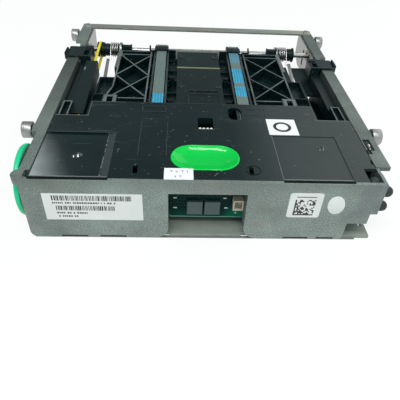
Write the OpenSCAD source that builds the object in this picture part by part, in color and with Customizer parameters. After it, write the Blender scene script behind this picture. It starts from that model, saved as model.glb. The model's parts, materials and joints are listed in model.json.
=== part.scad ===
// Banknote transport carriage: a cast frame on guide rollers, with a belt driven upper guide
// that lifts about the rear drive shaft. Lengths in mm, X across, Y from front to rear, Z up.
// Places along Y are given as distances behind the front face of the beam.

/* [Frame] */
// Overall length, front face of the beam to the rear edge of the tie strip
frame_l = 306; // [300:1:320]
// Width across the outer edges of the two rail flanges
rails_w = 278.3; // [270:0.1:290]
// Height of the beam and the rails above the floor
frame_h = 56; // [54:0.5:60]
// Width of a rail's top flange
flange_w = 11.75; // [10:0.25:14]
// Thickness of a rail's top flange
flange_t = 3.4; // [2.5:0.1:4.5]
// Thickness of a rail's upright web
web_t = 3; // [2.5:0.1:4]
// How far the left end of the beam stops short of the rail's outer edge
beam_left_inset = 5.2; // [4:0.1:7]
// How far the right end of the beam stops short of the rail's outer edge
beam_right_inset = 9.3; // [8.8:0.1:10.5]
// Thickness of the beam's front wall
beam_t = 3.2; // [2.5:0.1:3.4]
// Depth of the beam's returns
beam_depth = 14; // [12:0.5:14.5]
// Distance of the left rail's rear end behind the front face
left_rail_end = 231; // [228:1:236]
// Distance of the right rail's rear end behind the front face
right_rail_end = 213; // [210:1:216]
// Distance of the left rear arm's front end behind the front face
left_arm_start = 240; // [238:1:248]
// Distance of the right rear arm's front end behind the front face
right_arm_start = 219; // [217:1:226]
// Thickness of the base plate
base_t = 3; // [2:0.5:4]
// Distance of the base plate's rear edge behind the front face
base_end = 236; // [234:1:240]
// Width of the rear tie strip, front to rear
strip_w = 12; // [10:0.5:14]
// Thickness of the rear tie strip
strip_t = 2; // [1.5:0.1:2.5]
// Thickness of the steel side plates
plate_t = 2; // [1.5:0.1:2.5]

/* [Front window] */
// Width of the window in the beam
window_w = 58; // [50:1:62]
// Height of the window's upper edge above the floor
window_h = 45; // [42:0.5:45.5]
// Wall beside the window
window_wall = 5; // [4.5:0.5:7]
// Thickness of the sensor board
board_t = 1.6; // [1:0.2:2]
// Height of the sensor board's lower edge above the floor
board_z = 10; // [7:0.5:12]

/* [Cover] */
// Thickness of the cover's top plate
cover_t = 2.4; // [2:0.1:2.8]
// Gap between the cover and the rails on each side
cover_gap = 0.5; // [0.4:0.1:1]
// Distance of the cover's rear edge behind the front face
cover_end = 114; // [112:0.5:115]
// Length of the finger pad, side to side
pad_l = 52.6; // [46:0.2:56]
// Width of the finger pad, front to rear
pad_w = 32.3; // [28:0.1:34]
// Depth of the finger pad's body
pad_depth = 9; // [7.5:0.5:9]

/* [Transport] */
// Side offset of the transport's centre line from the middle of the rails
path_x = -2.4; // [-4:0.1:0]
// Distance between the centres of the two belts
belt_gauge = 79.2; // [76:0.2:82]
// Width of a belt
belt_w = 10.5; // [9:0.1:11.5]
// Thickness of a belt
belt_t = 0.8; // [0.6:0.1:1]
// Distance of the drive shaft's axis behind the front face
drive_d = 247; // [245:0.5:250]
// Depth of the drive shaft's axis below the top of the rails
drive_drop = 7.5; // [7.4:0.1:8.5]
// Radius of the drive shaft
shaft_r = 3; // [2.5:0.1:3.5]
// Radius of the drive pulleys
drive_pulley_r = 6; // [5.5:0.1:6]
// Distance of the front pulleys' axis behind the front face
front_d = 75; // [72:0.5:80]
// Radius of the front pulleys
front_pulley_r = 4.5; // [4:0.1:4.8]
// Radius of the idler rollers
idler_r = 10; // [9.5:0.1:11]
// Height of the free note path below the upper guide
path_gap = 6.5; // [6:0.1:8]
// Length of the torsion springs' fixed legs
spring_leg = 16; // [12:1:18]

/* [Drive] */
// Radius of the hand wheel
wheel_r = 28; // [25:0.5:29]
// Width of the hand wheel's rim
wheel_rim = 4; // [3:0.5:5]
// Distance of the hand wheel's axis behind the front face
wheel_d = 32.5; // [31:0.5:34]
// Height of the hand wheel's axis above the floor
wheel_z = 30.5; // [29.5:0.5:31.5]
// Teeth of the gear on the hand wheel's shaft
wheel_teeth = 36; // [36:12:36]
// Teeth of the layshaft gear
lay_teeth = 24; // [22:1:25]
// Teeth of the motor pinion
pinion_teeth = 12; // [12:1:14]
// Pitch radius of the round cord on its two pulleys
cord_r = 7.5; // [7:0.1:8]
// Diameter of the round drive cord
cord_dia = 3; // [2.5:0.1:3.2]
// Radius of the motor's can
motor_r = 10.8; // [9:0.1:10.8]

/* [Guide rollers] */
// Diameter of a guide roller
roller_dia = 13.6; // [12:0.1:16]
// Width of a guide roller
roller_w = 8; // [7:0.1:10]
// Distance of the front rollers' axis behind the front face
roller_front = 72; // [70:0.5:80]
// Distance of the rear rollers' axis in front of the rear edge
roller_inset = 25; // [22:0.5:30]
// Depth of the rollers' axis below the top of the rails
roller_drop = 5; // [4.5:0.1:6]

/* [Hidden] */

$fn = 48;
// Running clearance of a shaft in its bore, and the clearance of a fixed fit
run_gap = 0.05;
fit_gap = 0.02;
// Gap kept between moving faces that must not rub
free_gap = 0.3;

cast_grey = [0.45, 0.46, 0.45];
zinc_grey = [0.66, 0.67, 0.66];
steel = [0.75, 0.76, 0.77];
black_plastic = [0.07, 0.08, 0.08];
rubber_black = [0.12, 0.12, 0.12];
belt_grey = [0.36, 0.37, 0.38];
board_green = [0.05, 0.30, 0.20];
pad_green = [0.05, 0.85, 0.32];
wheel_green = [0.05, 0.62, 0.38];
cord_yellow = [0.95, 0.85, 0.10];

// Rails and beam
rail_out = rails_w / 2;
rail_in = rail_out - flange_w;
web_out = rail_in + web_t;
beam_l = -rail_out + beam_left_inset;
beam_r = rail_out - beam_right_inset;
window_l = path_x + 2.45 - window_w / 2;
window_r = window_l + window_w;
return_h = window_h + 1.6;
beam_wall = 3;
step_low = [20.8, 17.5];
step_high = [5.3, 27.5];
right_rail_start = 21.7;
strip_d = frame_l - strip_w;
wheel_flange = web_out + 4.6;

// Cover and upper guide heights
cover_top = frame_h - 0.2;
cover_under = cover_top - cover_t;
cover_front = beam_t + 0.5;
cover_half = rail_in - cover_gap;
skirt_z = return_h + 0.9;
bay_d = 89.5;
pad_x = path_x + 0.9;
pad_d = 31.1;

// Transport
drive_z = frame_h - drive_drop;
belt_x = belt_gauge / 2;
drive_run = drive_pulley_r + free_gap;
front_run = front_pulley_r + free_gap;
front_z = cover_under - 1.6 - front_run - belt_t;
upper_z = drive_z - drive_run - belt_t + 0.6;
path_z = upper_z - path_gap;
guide_t = 2;
rib_top = cover_under;
panel_in = belt_x + 10.4;
panel_out = panel_in + 34;
panel_end = drive_d - 13;
rib_t = 1.4;
centre_half = 22.3;
channel_in = belt_w / 2 + 0.95;
channel_out = channel_in + 1.8;
// Inner face of a drive pulley's inner flange
flange_x = belt_x - belt_w / 2 - 1.4;
// Outer walls of the left and the right ribbed panel
panel_edge = [panel_out, panel_out + 4.5];
strap_t = 3;
front_idler_d = 105;
rear_idler_d = 213;

// Drive
gear_pitch = 1;
lay_angle = 6.7;
pinion_angle = -43.3;
lay_step = gear_pitch * (wheel_teeth + lay_teeth) / 2;
pinion_step = gear_pitch * (wheel_teeth + pinion_teeth) / 2;
lay_d = wheel_d + lay_step * cos(lay_angle);
lay_z = wheel_z + lay_step * sin(lay_angle);
motor_d = wheel_d + pinion_step * cos(pinion_angle);
motor_z = wheel_z + pinion_step * sin(pinion_angle);
gear_x = -rail_in + 3.4;
gear_w = 5;
lug_x = gear_x + gear_w + 2;
lug_t = 2;
pulley_x = lug_x + lug_t + 1;
pulley_w = 6;
cord_x = pulley_x + pulley_w / 2;
groove_w = cord_dia + 2 * free_gap;
groove_r = cord_r - cord_dia / 2 - free_gap;
sleeve_r = 6.3;
lay_r = 2.5;
wheel_shaft_r = 3;
bush_r = 4.5;

// Rollers
roller_rear = frame_l - roller_inset;
axle_r = 2.5;
roller_in = rail_out + 1.85;
roller_out = roller_in + roller_w;
roller_z = frame_h - roller_drop;

// Torsion springs
wire_r = 0.6;
spring_steps = 29;
spring_r = sleeve_r + 0.7 + wire_r;
spring_pitch = 2.4;
spring_arm = 16;
spring_len = spring_pitch * spring_steps / 8;

function fy(d) = d - frame_l / 2;
// Height of the lower side of the belts' lower run at a distance behind the front face
function run_z(d) = let (front = front_z - front_run - belt_t, rear = drive_z - drive_run - belt_t)
    front + (rear - front) * (d - front_d) / (drive_d - front_d);
function idler_z(d) = run_z(d) - free_gap - idler_r;

module slab(x, d, z) translate([x[0], fy(d[0]), z[0]])
    cube([x[1] - x[0], d[1] - d[0], z[1] - z[0]]);
module rod(x, d, z, r) translate([x[0], fy(d), z]) rotate([0, 90, 0]) cylinder(h = x[1] - x[0], r = r);
module post(x, d, z, r) translate([x, fy(d), z[0]]) cylinder(h = z[1] - z[0], r = r);
module on_side(side, centre = 0) translate([centre, 0, 0]) if (side < 0) mirror([1, 0, 0]) children();
    else children();
// Outline in Y and Z drawn out along X, and outline in X and Z drawn out along Y
module along_x(x) translate([x[0], 0, 0]) rotate([90, 0, 90]) linear_extrude(x[1] - x[0]) children();
module along_y(d) translate([0, fy(d[1]), 0]) rotate([90, 0, 0]) linear_extrude(d[1] - d[0]) children();
module bar(a, b, z, t) translate([a[0], fy(a[1]), z[0]]) rotate([0, 0, atan2(b[1] - a[1], b[0] - a[0])])
    translate([0, -t / 2, 0]) cube([norm(b - a), t, z[1] - z[0]]);
module stadium(l, w) {
    square([l - w, w], center = true);
    for (s = [-1, 1]) translate([s * (l - w) / 2, 0]) circle(d = w);
}
// Upright rectangle with its two lower corners rounded
module soft_rect(x, z, r_left, r_right) {
    difference() {
        translate([x[0], z[0]]) square([x[1] - x[0], z[1] - z[0]]);
        translate([x[0] - 1, z[0] - 1]) square(r_left + 1);
        translate([x[1] - r_right, z[0] - 1]) square(r_right + 1);
    }
    translate([x[0] + r_left, z[0] + r_left]) circle(r_left);
    translate([x[1] - r_right, z[0] + r_right]) circle(r_right);
}
module gear_outline(teeth, phase) {
    pitch_r = gear_pitch * teeth / 2;
    tooth = 360 / teeth;
    rotate(phase) polygon([for (i = [0:teeth - 1]) for (p = [[-0.30, -1.2], [-0.20, 0], [-0.10, 0.9],
        [0.10, 0.9], [0.20, 0], [0.30, -1.2]])
        let (a = (i + p[0]) * tooth, r = pitch_r + gear_pitch * p[1]) r * [cos(a), sin(a)]]);
}

module front_beam() color(cast_grey) {
    difference() {
        union() {
            along_y([0, beam_depth]) {
                soft_rect([beam_l, window_l], [0, frame_h], 6, 10);
                soft_rect([window_r, beam_r - step_low[0]], [0, frame_h], 12, 3);
                translate([window_r, step_low[1]])
                    square([beam_r - step_high[0] - window_r, frame_h - step_low[1]]);
                translate([window_r, step_high[1]]) square([beam_r - window_r, frame_h - step_high[1]]);
                translate([window_l, window_h]) square([window_w, frame_h - window_h]);
            }
            slab([rail_in, beam_r], [0, right_rail_start], [step_high[1], frame_h - 0.6]);
            post(beam_l + 0.6, lug_r + 0.3, [frame_h - 5.5, frame_h + 0.6], lug_r);
        }
        slab([beam_l - 7, rail_in], [lug_end, beam_depth + 9], [return_h, frame_h + 1]);
        slab([-rail_in - 0.6, rail_in], [beam_t, beam_depth + 9], [return_h, frame_h + 1]);
        slab([-web_out, window_l - window_wall], [beam_t, beam_depth + 1], [base_t, frame_h + 1]);
        slab([window_r + window_wall, beam_r - step_low[0] - beam_wall], [beam_t, beam_depth + 1],
            [base_t, frame_h + 1]);
        slab([window_r + window_wall, rail_in], [beam_t, beam_depth + 1],
            [step_high[1] + beam_wall, frame_h + 1]);
        for (n = [[beam_l + 23, 20], [beam_l + 52.5, 20], [beam_r - 68.5, 20], [beam_r - 42, 14]])
            slab([n[0], n[0] + n[1]], [-1, foot_recess], [-1, foot_notch]);
        slab([window_l - tongue_side, window_r + tongue_side], [beam_t, beam_depth + 1], [-1, base_t]);
        for (x = board_screw_x(), z = board_screw_z()) translate([x, fy(beam_depth) + 1, z])
            rotate([90, 0, 0]) cylinder(h = 7, r = 1.35);
    }
}
// How far the base plate's tongue reaches past the window behind the beam's front wall
tongue_side = 14;
foot_notch = 2.3;
foot_recess = 2;
lug_r = 5.6;
lug_end = 2 * lug_r + 0.6;
function board_screw_x() = [window_l - window_wall / 2, window_r + window_wall / 2];
function board_screw_z() = [board_z + 5, window_h - 5];

// Rail profile: upright web with a flange that overhangs outwards
module rail(start, end, flange_start, low) {
    slab([rail_in, web_out], [start, end], [low, frame_h]);
    slab([rail_in, rail_out], [flange_start, end], [frame_h - flange_t, frame_h]);
}
module axle_boss(d) rod([rail_in, rail_out + 1.2], d, roller_z, axle_r + 2.3);
module axle_bore(d) rod([rail_in - 1, rail_out + 9], d, roller_z, axle_r + fit_gap);
module plate_screw_bore(d, z) rod([rail_in - plate_t - 1, web_out + 1], d, z, 1.6);

module left_rail() color(cast_grey) on_side(-1) difference() {
    union() {
        rail(beam_t, left_rail_end, roller_front - 10, 0);
        slab([rail_in, wheel_flange], [lug_end, roller_front - 10], [frame_h - flange_t, frame_h]);
        axle_boss(roller_front);
    }
    axle_bore(roller_front);
    rod([rail_in - 1, web_out + 1], wheel_d, wheel_z, bush_r + fit_gap);
    rod([rail_in - 1, web_out + 1], lay_d, lay_z, bush_r + fit_gap);
    plate_screw_bore(left_rail_end - 8, plate_screw_z);
    slab([rail_in - 1, web_out + 1], [beam_t - 1, beam_depth], [-1, base_t]);
    slab([rail_in - 1, wheel_flange + 1], [beam_t - 1, lug_end], [return_h, frame_h + 1]);
}
module right_rail() color(cast_grey) on_side(1) difference() {
    union() {
        rail(right_rail_start, right_rail_end, right_rail_start, 0);
        axle_boss(roller_front);
    }
    axle_bore(roller_front);
    plate_screw_bore(right_rail_end - 8, plate_screw_z);
    slab([rail_in + 1.2, rail_in + 7], [44, 60], [frame_h - notch_sink, frame_h + 1]);
    slab([rail_in - 1, rail_in + 3.6], [39, 45], [frame_h - notch_sink, frame_h + 1]);
}
plate_screw_z = 30;
notch_sink = 1.8;
arm_z = 26;

module rear_arm(start, narrow) difference() {
    union() {
        rail(start, frame_l, start + narrow, arm_z);
        slab([rail_in, web_out + 2], [start, start + narrow + 1], [frame_h - flange_t, frame_h]);
        axle_boss(roller_rear);
    }
    axle_bore(roller_rear);
    slab([rail_in - 1, rail_out + 1], [strip_d, frame_l + 1], [frame_h - strip_t, frame_h + 1]);
    for (d = arm_screws(start)) plate_screw_bore(d, plate_screw_z);
    post(strip_screw_x, strip_d + strip_w / 2, [frame_h - 9, frame_h], 1.7);
}
function arm_screws(start) = [start + 16, frame_l - 12];
strip_screw_x = rail_in + flange_w / 2;
module left_rear_arm() color(cast_grey) on_side(-1) rear_arm(left_arm_start, 11);
module right_rear_arm() color(cast_grey) on_side(1) rear_arm(right_arm_start, 4);

// Steel plate inside the rail and the arm, with the shaft bush and an upright slot
side_plate_start = 200;
module side_plate(screws) difference() {
    along_x([rail_in - plate_t, rail_in]) difference() {
        translate([fy(side_plate_start), plate_screw_z - 8])
            square([frame_l - 4 - side_plate_start, frame_h - plate_screw_z + 8 - strip_t]);
        translate([fy(drive_d + 18), drive_z - 10]) rotate(90) stadium(20, 5);
        translate([fy(frame_l - 26), plate_screw_z - 8]) polygon([[0, -1], [30, -1], [30, 9]]);
    }
    rod([rail_in - plate_t - 1, rail_in + 1], drive_d, drive_z, bush_r + fit_gap);
    for (d = screws) plate_screw_bore(d, plate_screw_z);
}
function plate_screws(rail_end, arm_start) = concat([rail_end - 8], arm_screws(arm_start));
module left_side_plate() color(zinc_grey)
    on_side(-1) side_plate(plate_screws(left_rail_end, left_arm_start));
module right_side_plate() color(zinc_grey)
    on_side(1) side_plate(plate_screws(right_rail_end, right_arm_start));

module rear_tie_strip() color(zinc_grey) difference() {
    slab([-rail_out, rail_out], [strip_d, frame_l], [frame_h - strip_t, frame_h]);
    for (s = [-1, 1]) post(s * strip_screw_x, strip_d + strip_w / 2, [frame_h - 9, frame_h + 1], 1.7);
}

// Black block that straddles a rail, cut to the rail and the side plate under it
block_top = 2;
module end_block(start, end, tab) difference() {
    union() {
        slab([rail_in - 12, rail_out + 1.4], [start, end], [frame_h - 13, frame_h + block_top]);
        slab([rail_out + 1.4, rail_out + 3.4], [start + 2, end - tab],
            [frame_h - 8, frame_h + block_top + 2]);
        slab([rail_in - 12, rail_in - 4], [end - 6, end], [frame_h - 13, frame_h + block_top + 1.2]);
    }
    slab([rail_in - plate_t, web_out], [start - 1, end + 1], [frame_h - 14, frame_h]);
    slab([rail_in, rail_out], [start - 1, end + 1], [frame_h - flange_t, frame_h]);
    slab([web_out, rail_out + 4], [start - 1, end + 1], [frame_h - 14, frame_h - flange_t]);
    slab([rail_in - 9, rail_in - 4], [start + 3, end - 9], [frame_h - 9, frame_h + block_top + 1]);
}
// Each block ends flush with its rail, or in front of the drive shaft's bush
block_gap = 16;
left_block_end = min(left_rail_end, drive_d - block_gap);
right_block_end = min(right_rail_end, drive_d - block_gap);
left_block = left_block_end - 25;
right_block = right_block_end - 21;
module left_end_block() color(black_plastic) on_side(-1) end_block(left_block, left_block_end, 8);
module right_end_block() color(black_plastic) on_side(1) end_block(right_block, right_block_end, 3);

module base_plate() color([0.50, 0.47, 0.43]) difference() {
    union() {
        slab([-rail_in, rail_in], [beam_depth, base_end], [0, base_t]);
        slab([window_l + 1, window_r - 1], [1.5, beam_depth], [0, base_t]);
        slab([window_l - tongue_side + 0.2, window_r + tongue_side - 0.2], [beam_t + 0.2, beam_depth],
            [0, base_t]);
        slab([beam_r - step_low[0] + 0.3, beam_r + 1.5], [1.5, right_rail_start - 1], [0, base_t]);
        slab([beam_r - step_low[0] + 0.3, rail_in - 2], [beam_depth - 2, beam_depth + 1], [0, base_t]);
        along_x([lug_x, lug_x + lug_t]) translate([fy(motor_d) - 11, base_t - 1])
            square([22, motor_z + 12 - base_t]);
    }
    rod([lug_x - 1, lug_x + lug_t + 1], motor_d, motor_z, 4 + fit_gap);
    slab([rail_in - 1, rail_in + 1], [beam_depth - 1, right_rail_start], [-1, base_t + 1]);
}

// Trough between a rail and the ribbed panels, standing on the base plate
member_out = rail_in - plate_t - 0.2;
member_in = rail_in - 23.5;
member_wall = 2;
trough_z = 18;
ledge_z = drive_z + 1.5;
bay_in = member_out - 8.5;
bay_wall = 1.6;
bay_l = 26;
bay_top = cover_under + 1;
module side_member(floor_start, wall_end, end) {
    slab([member_out - member_wall, member_out], [floor_start, end], [base_t, ledge_z]);
    slab([bay_in, member_out], [floor_start, end], [ledge_z - 2, ledge_z]);
    slab([bay_in, bay_in + member_wall], [floor_start, end], [ledge_z - 12, ledge_z]);
    slab([member_in + 6.5, member_out], [floor_start, end], [trough_z, trough_z + member_wall]);
    slab([member_in, member_out], [floor_start, wall_end], [trough_z, trough_z + member_wall]);
    slab([member_in, member_in + member_wall], [floor_start, wall_end], [base_t, ledge_z - 5]);
    for (x = [bay_in, member_out - bay_wall])
        slab([x, x + bay_wall], [floor_start, floor_start + bay_l], [ledge_z - 2, bay_top]);
    for (d = [floor_start, floor_start + bay_l - bay_wall])
        slab([bay_in, member_out], [d, d + bay_wall], [ledge_z - 12, bay_top]);
}
// Fin beside the drive cord and a hood over the cord's upper run
hood_d = [bay_d + 16, left_block - 6];
hood_in = -cord_x - cord_dia / 2 - 2.6;
hood_t = 1.2;
hood_skirt = 16;
function hood_z(d) = lay_z + cord_r + cord_dia / 2 + 0.6
    + (drive_z - lay_z) * (d - lay_d) / (drive_d - lay_d);
module hood() {
    top = [for (d = hood_d) hood_z(d) + hood_t];
    along_x([hood_in, bay_in + member_wall]) polygon([[fy(hood_d[0]), hood_z(hood_d[0])],
        [fy(hood_d[1]), hood_z(hood_d[1])], [fy(hood_d[1]), top[1]], [fy(hood_d[0]), top[0]]]);
    along_x([bay_in, bay_in + member_wall]) polygon([[fy(hood_d[0]), ledge_z - 10],
        [fy(hood_d[1]), ledge_z - 10], [fy(hood_d[1]), top[1]], [fy(hood_d[0]), top[0]]]);
    along_x([hood_in, hood_in + 1.4]) polygon([[fy(hood_d[0]), top[0] - hood_skirt],
        [fy(hood_d[1]), top[1] - hood_skirt], [fy(hood_d[1]), top[1]], [fy(hood_d[0]), top[0]]]);
}
module left_side_member() color(black_plastic) on_side(-1) {
    side_member(bay_d + 1, drive_d - 97, left_block);
    hood();
}
// Black ledge beside the right spring anchor, under the end block
shelf_z = frame_h - 20;
module right_side_member() color(black_plastic) on_side(1) {
    side_member(bay_d + 1, drive_d - anchor_l - 3, right_block);
    slab([member_in + 1, member_out], [right_block - 22, drive_d - 11], [shelf_z, shelf_z + member_wall]);
}

// Lower note guide on upright ribs, with openings for the idler rollers
guide_ribs = [[belt_x - 15.5, belt_x - 13.5], [belt_x + 13.5, belt_x + 15.5],
    [panel_out + 4, panel_out + 6]];
guide_start = 66;
module lower_guide() color(black_plastic) translate([path_x, 0, 0]) difference() {
    union() {
        slab([-panel_out - 6, panel_out + 6], [guide_start, base_end], [path_z - guide_t, path_z]);
        for (s = [-1, 1], r = guide_ribs) on_side(s)
            slab(r, [guide_start, base_end], [base_t, path_z - guide_t]);
    }
    for (d = [front_idler_d, rear_idler_d]) {
        for (s = [-1, 1]) on_side(s) slab([belt_x - belt_w / 2 - 1.5, belt_x + belt_w / 2 + 1.5],
            [d - idler_r - 1.5, d + idler_r + 1.5], [path_z - guide_t - 1, path_z + 1]);
        rod([-guide_ribs[1][1] - 1, guide_ribs[1][1] + 1], d, idler_z(d), axle_idler_r + run_gap);
    }
}
axle_idler_r = 2;

module sensor_board() color(board_green) difference() {
    slab([window_l - window_wall, window_r + window_wall], [beam_depth, beam_depth + board_t],
        [board_z, window_h - 1]);
    for (x = board_screw_x(), z = board_screw_z()) translate([x, fy(beam_depth) + 5, z])
        rotate([90, 0, 0]) cylinder(h = 7, r = 1.35);
}
module board_sensors() color([0.35, 0.37, 0.40]) for (x = [14.1, 27.8])
    slab([window_l + x, window_l + x + 12.1], [beam_depth - 2.5, beam_depth],
        [board_z + 4.4, board_z + 17.6]);
module board_connector() color([0.85, 0.82, 0.70]) difference() {
    slab([window_r - 8.7, window_r - 0.5], [beam_depth - 6, beam_depth], [board_z + 12.3, board_z + 22.2]);
    slab([window_r - 7.5, window_r - 1.7], [beam_depth - 7, beam_depth - 1.5],
        [board_z + 13.5, board_z + 21]);
}
// Domed rubber buffers on the right end of the beam
buffer_r = 4.2;
buffer_stem = 3.6;
module side_buffers() color(rubber_black) for (drop = [10, 24])
    translate([beam_r, fy(buffer_r + 1.2), frame_h - drop]) rotate([0, 90, 0]) rotate_extrude() {
        square([buffer_r, buffer_stem]);
        translate([0, buffer_stem]) intersection() {
            circle(buffer_r);
            square(buffer_r);
        }
    }

module roller_axles() color(steel) for (s = [-1, 1], d = [roller_front, roller_rear]) on_side(s) {
    rod([rail_in, roller_out - 0.4], d, roller_z, axle_r);
    rod([roller_out - 0.8, roller_out], d, roller_z, axle_r + 1.4);
}
module guide_roller(side, d) color(steel) on_side(side) difference() {
    rod([roller_in, roller_out], d, roller_z, roller_dia / 2);
    rod([roller_in - 1, roller_out + 1], d, roller_z, axle_r + run_gap);
    rod([roller_out - 0.8 - free_gap, roller_out + 1], d, roller_z, axle_r + 1.4 + free_gap);
}
module front_left_roller() guide_roller(-1, roller_front);
module front_right_roller() guide_roller(1, roller_front);
module rear_left_roller() guide_roller(-1, roller_rear);
module rear_right_roller() guide_roller(1, roller_rear);

// Pan head screw along +Z, its head's seat at the origin
module screw(r, l, head_r, head_h) {
    translate([0, 0, -l]) cylinder(h = l, r = r);
    difference() {
        cylinder(h = head_h, r = head_r);
        translate([0, 0, head_h]) cube([head_r * 1.3, head_r * 0.3, head_h], center = true);
    }
}
module frame_screws() color(steel) {
    for (s = [-1, 1]) translate([s * strip_screw_x, fy(strip_d + strip_w / 2), frame_h])
        screw(1.5, 6, 3, 1.6);
    for (x = board_screw_x(), z = board_screw_z()) translate([x, fy(beam_depth + board_t), z])
        rotate([-90, 0, 0]) screw(1.2, 5, 2.2, 1.4);
    for (d = plate_screws(left_rail_end, left_arm_start))
        translate([-rail_in + plate_t, fy(d), plate_screw_z]) rotate([0, 90, 0]) screw(1.5, 4.5, 3, 1.8);
    for (d = plate_screws(right_rail_end, right_arm_start))
        translate([rail_in - plate_t, fy(d), plate_screw_z]) rotate([0, -90, 0]) screw(1.5, 4.5, 3, 1.8);
}
// Flanged plain bush, its flange inside the wall that it sits in
module bush(wall_x, wall, d, z, bore) difference() {
    union() {
        rod([wall_x, wall_x + wall], d, z, bush_r);
        rod([wall_x + wall, wall_x + wall + 1.2], d, z, bush_r + 1.5);
    }
    rod([wall_x - 1, wall_x + wall + 2], d, z, bore + run_gap);
}
module shaft_bushes() color([0.72, 0.56, 0.30]) {
    bush(-web_out, web_t, wheel_d, wheel_z, wheel_shaft_r);
    bush(-web_out, web_t, lay_d, lay_z, lay_r);
    bush(-rail_in, plate_t, drive_d, drive_z, shaft_r);
    on_side(1) mirror([1, 0, 0]) bush(-rail_in, plate_t, drive_d, drive_z, shaft_r);
}

// Round cord round two equal pulleys: half rings at both ends and two straight runs
module drive_cord() color(cord_yellow) {
    run = [drive_d - lay_d, drive_z - lay_z];
    tilt = atan2(run[1], run[0]);
    translate([cord_x, fy(lay_d), lay_z]) rotate([tilt, 0, 0]) {
        half_ring(180);
        translate([0, norm(run), 0]) half_ring(0);
        for (s = [-1, 1]) translate([0, 0, s * cord_r]) rotate([-90, 0, 0])
            cylinder(h = norm(run), d = cord_dia);
    }
}
module half_ring(turn) rotate([0, 90, 0]) rotate([0, 0, turn]) rotate_extrude(angle = 180)
    translate([cord_r, 0]) circle(d = cord_dia);

// Tube swept along points; rings are set by the radial direction and the X axis
function ring(p, radial, r) = [for (k = [0:5]) p + r * (cos(60 * k) * radial + sin(60 * k) * [1, 0, 0])];
function spring_angle(i) = 135 - 45 * i;
function spring_radial(i) = [0, cos(spring_angle(i)), sin(spring_angle(i))];
function spring_point(x, i) = [x + spring_pitch * i / 8, fy(drive_d), drive_z] + spring_r * spring_radial(i);
function spring_path(x) = let (first = spring_point(x, 0), last = spring_point(x, spring_steps),
        out_a = [0, -sin(spring_angle(0)), cos(spring_angle(0))],
        out_b = [0, sin(spring_angle(spring_steps)), -cos(spring_angle(spring_steps))])
    concat([first + spring_leg * out_a], [for (i = [0:spring_steps]) spring_point(x, i)],
        [last + spring_arm * out_b]);
module spring(x) {
    path = spring_path(x);
    count = len(path);
    points = [for (i = [0:count - 1]) for (q = ring(path[i],
        spring_radial(max(0, min(spring_steps, i - 1))), wire_r)) q];
    sides = [for (i = [0:count - 2]) for (k = [0:5]) let (a = 6 * i + k, b = 6 * i + (k + 1) % 6)
        each [[a, b, b + 6], [a, b + 6, a + 6]]];
    tip = 6 * (count - 1);
    ends = [for (k = [1:4]) each [[0, k + 1, k], [tip, tip + k, tip + k + 1]]];
    polyhedron(points, concat(sides, ends));
}
// Distance of a spring's outer end from the transport's centre line
function spring_x(side) = panel_edge[side] + strap_t + 0.4 + wire_r + spring_len;
coil = [for (i = [0:spring_steps]) spring_point(0, i)];
echo(spring_self_gap = min([for (i = [0:spring_steps - 8]) norm(coil[i + 8] - coil[i])]) - 2 * wire_r);
module left_torsion_spring() color(steel) translate([path_x, 0, 0]) spring(-spring_x(0));
module right_torsion_spring() color(steel) on_side(-1, path_x) spring(-spring_x(1));

// Bent steel strips on the trough floors that hold the springs' fixed legs
anchor_t = 3;
anchor_l = 72;
anchor_z = trough_z + member_wall;
anchor_h = drive_z - anchor_z - 6;
module anchor(x) {
    along_x([x, x + anchor_t]) translate([fy(drive_d), anchor_z])
        polygon([[-anchor_l, 0], [-anchor_l + 18, 0], [-anchor_l + 23, anchor_h - 8], [-14, anchor_h],
            [-16, anchor_h + 2.5], [-anchor_l + 19, anchor_h - 5], [-anchor_l + 14, 3], [-anchor_l, 3]]);
    slab([x, member_in + 11], [drive_d - anchor_l, drive_d - anchor_l + 18], [anchor_z, anchor_z + 2]);
}
module spring_anchors() color(zinc_grey) {
    on_side(-1) anchor(spring_x(0) - path_x + wire_r + 0.4);
    on_side(1) anchor(spring_x(1) + path_x + wire_r + 0.4);
}
module drive_motor() color([0.55, 0.56, 0.57]) {
    rod([lug_x + lug_t, lug_x + lug_t + 36], motor_d, motor_z, motor_r);
    rod([lug_x, lug_x + lug_t], motor_d, motor_z, 4);
    rod([lug_x + lug_t + 36, lug_x + lug_t + 38], motor_d, motor_z, 5);
}

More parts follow.
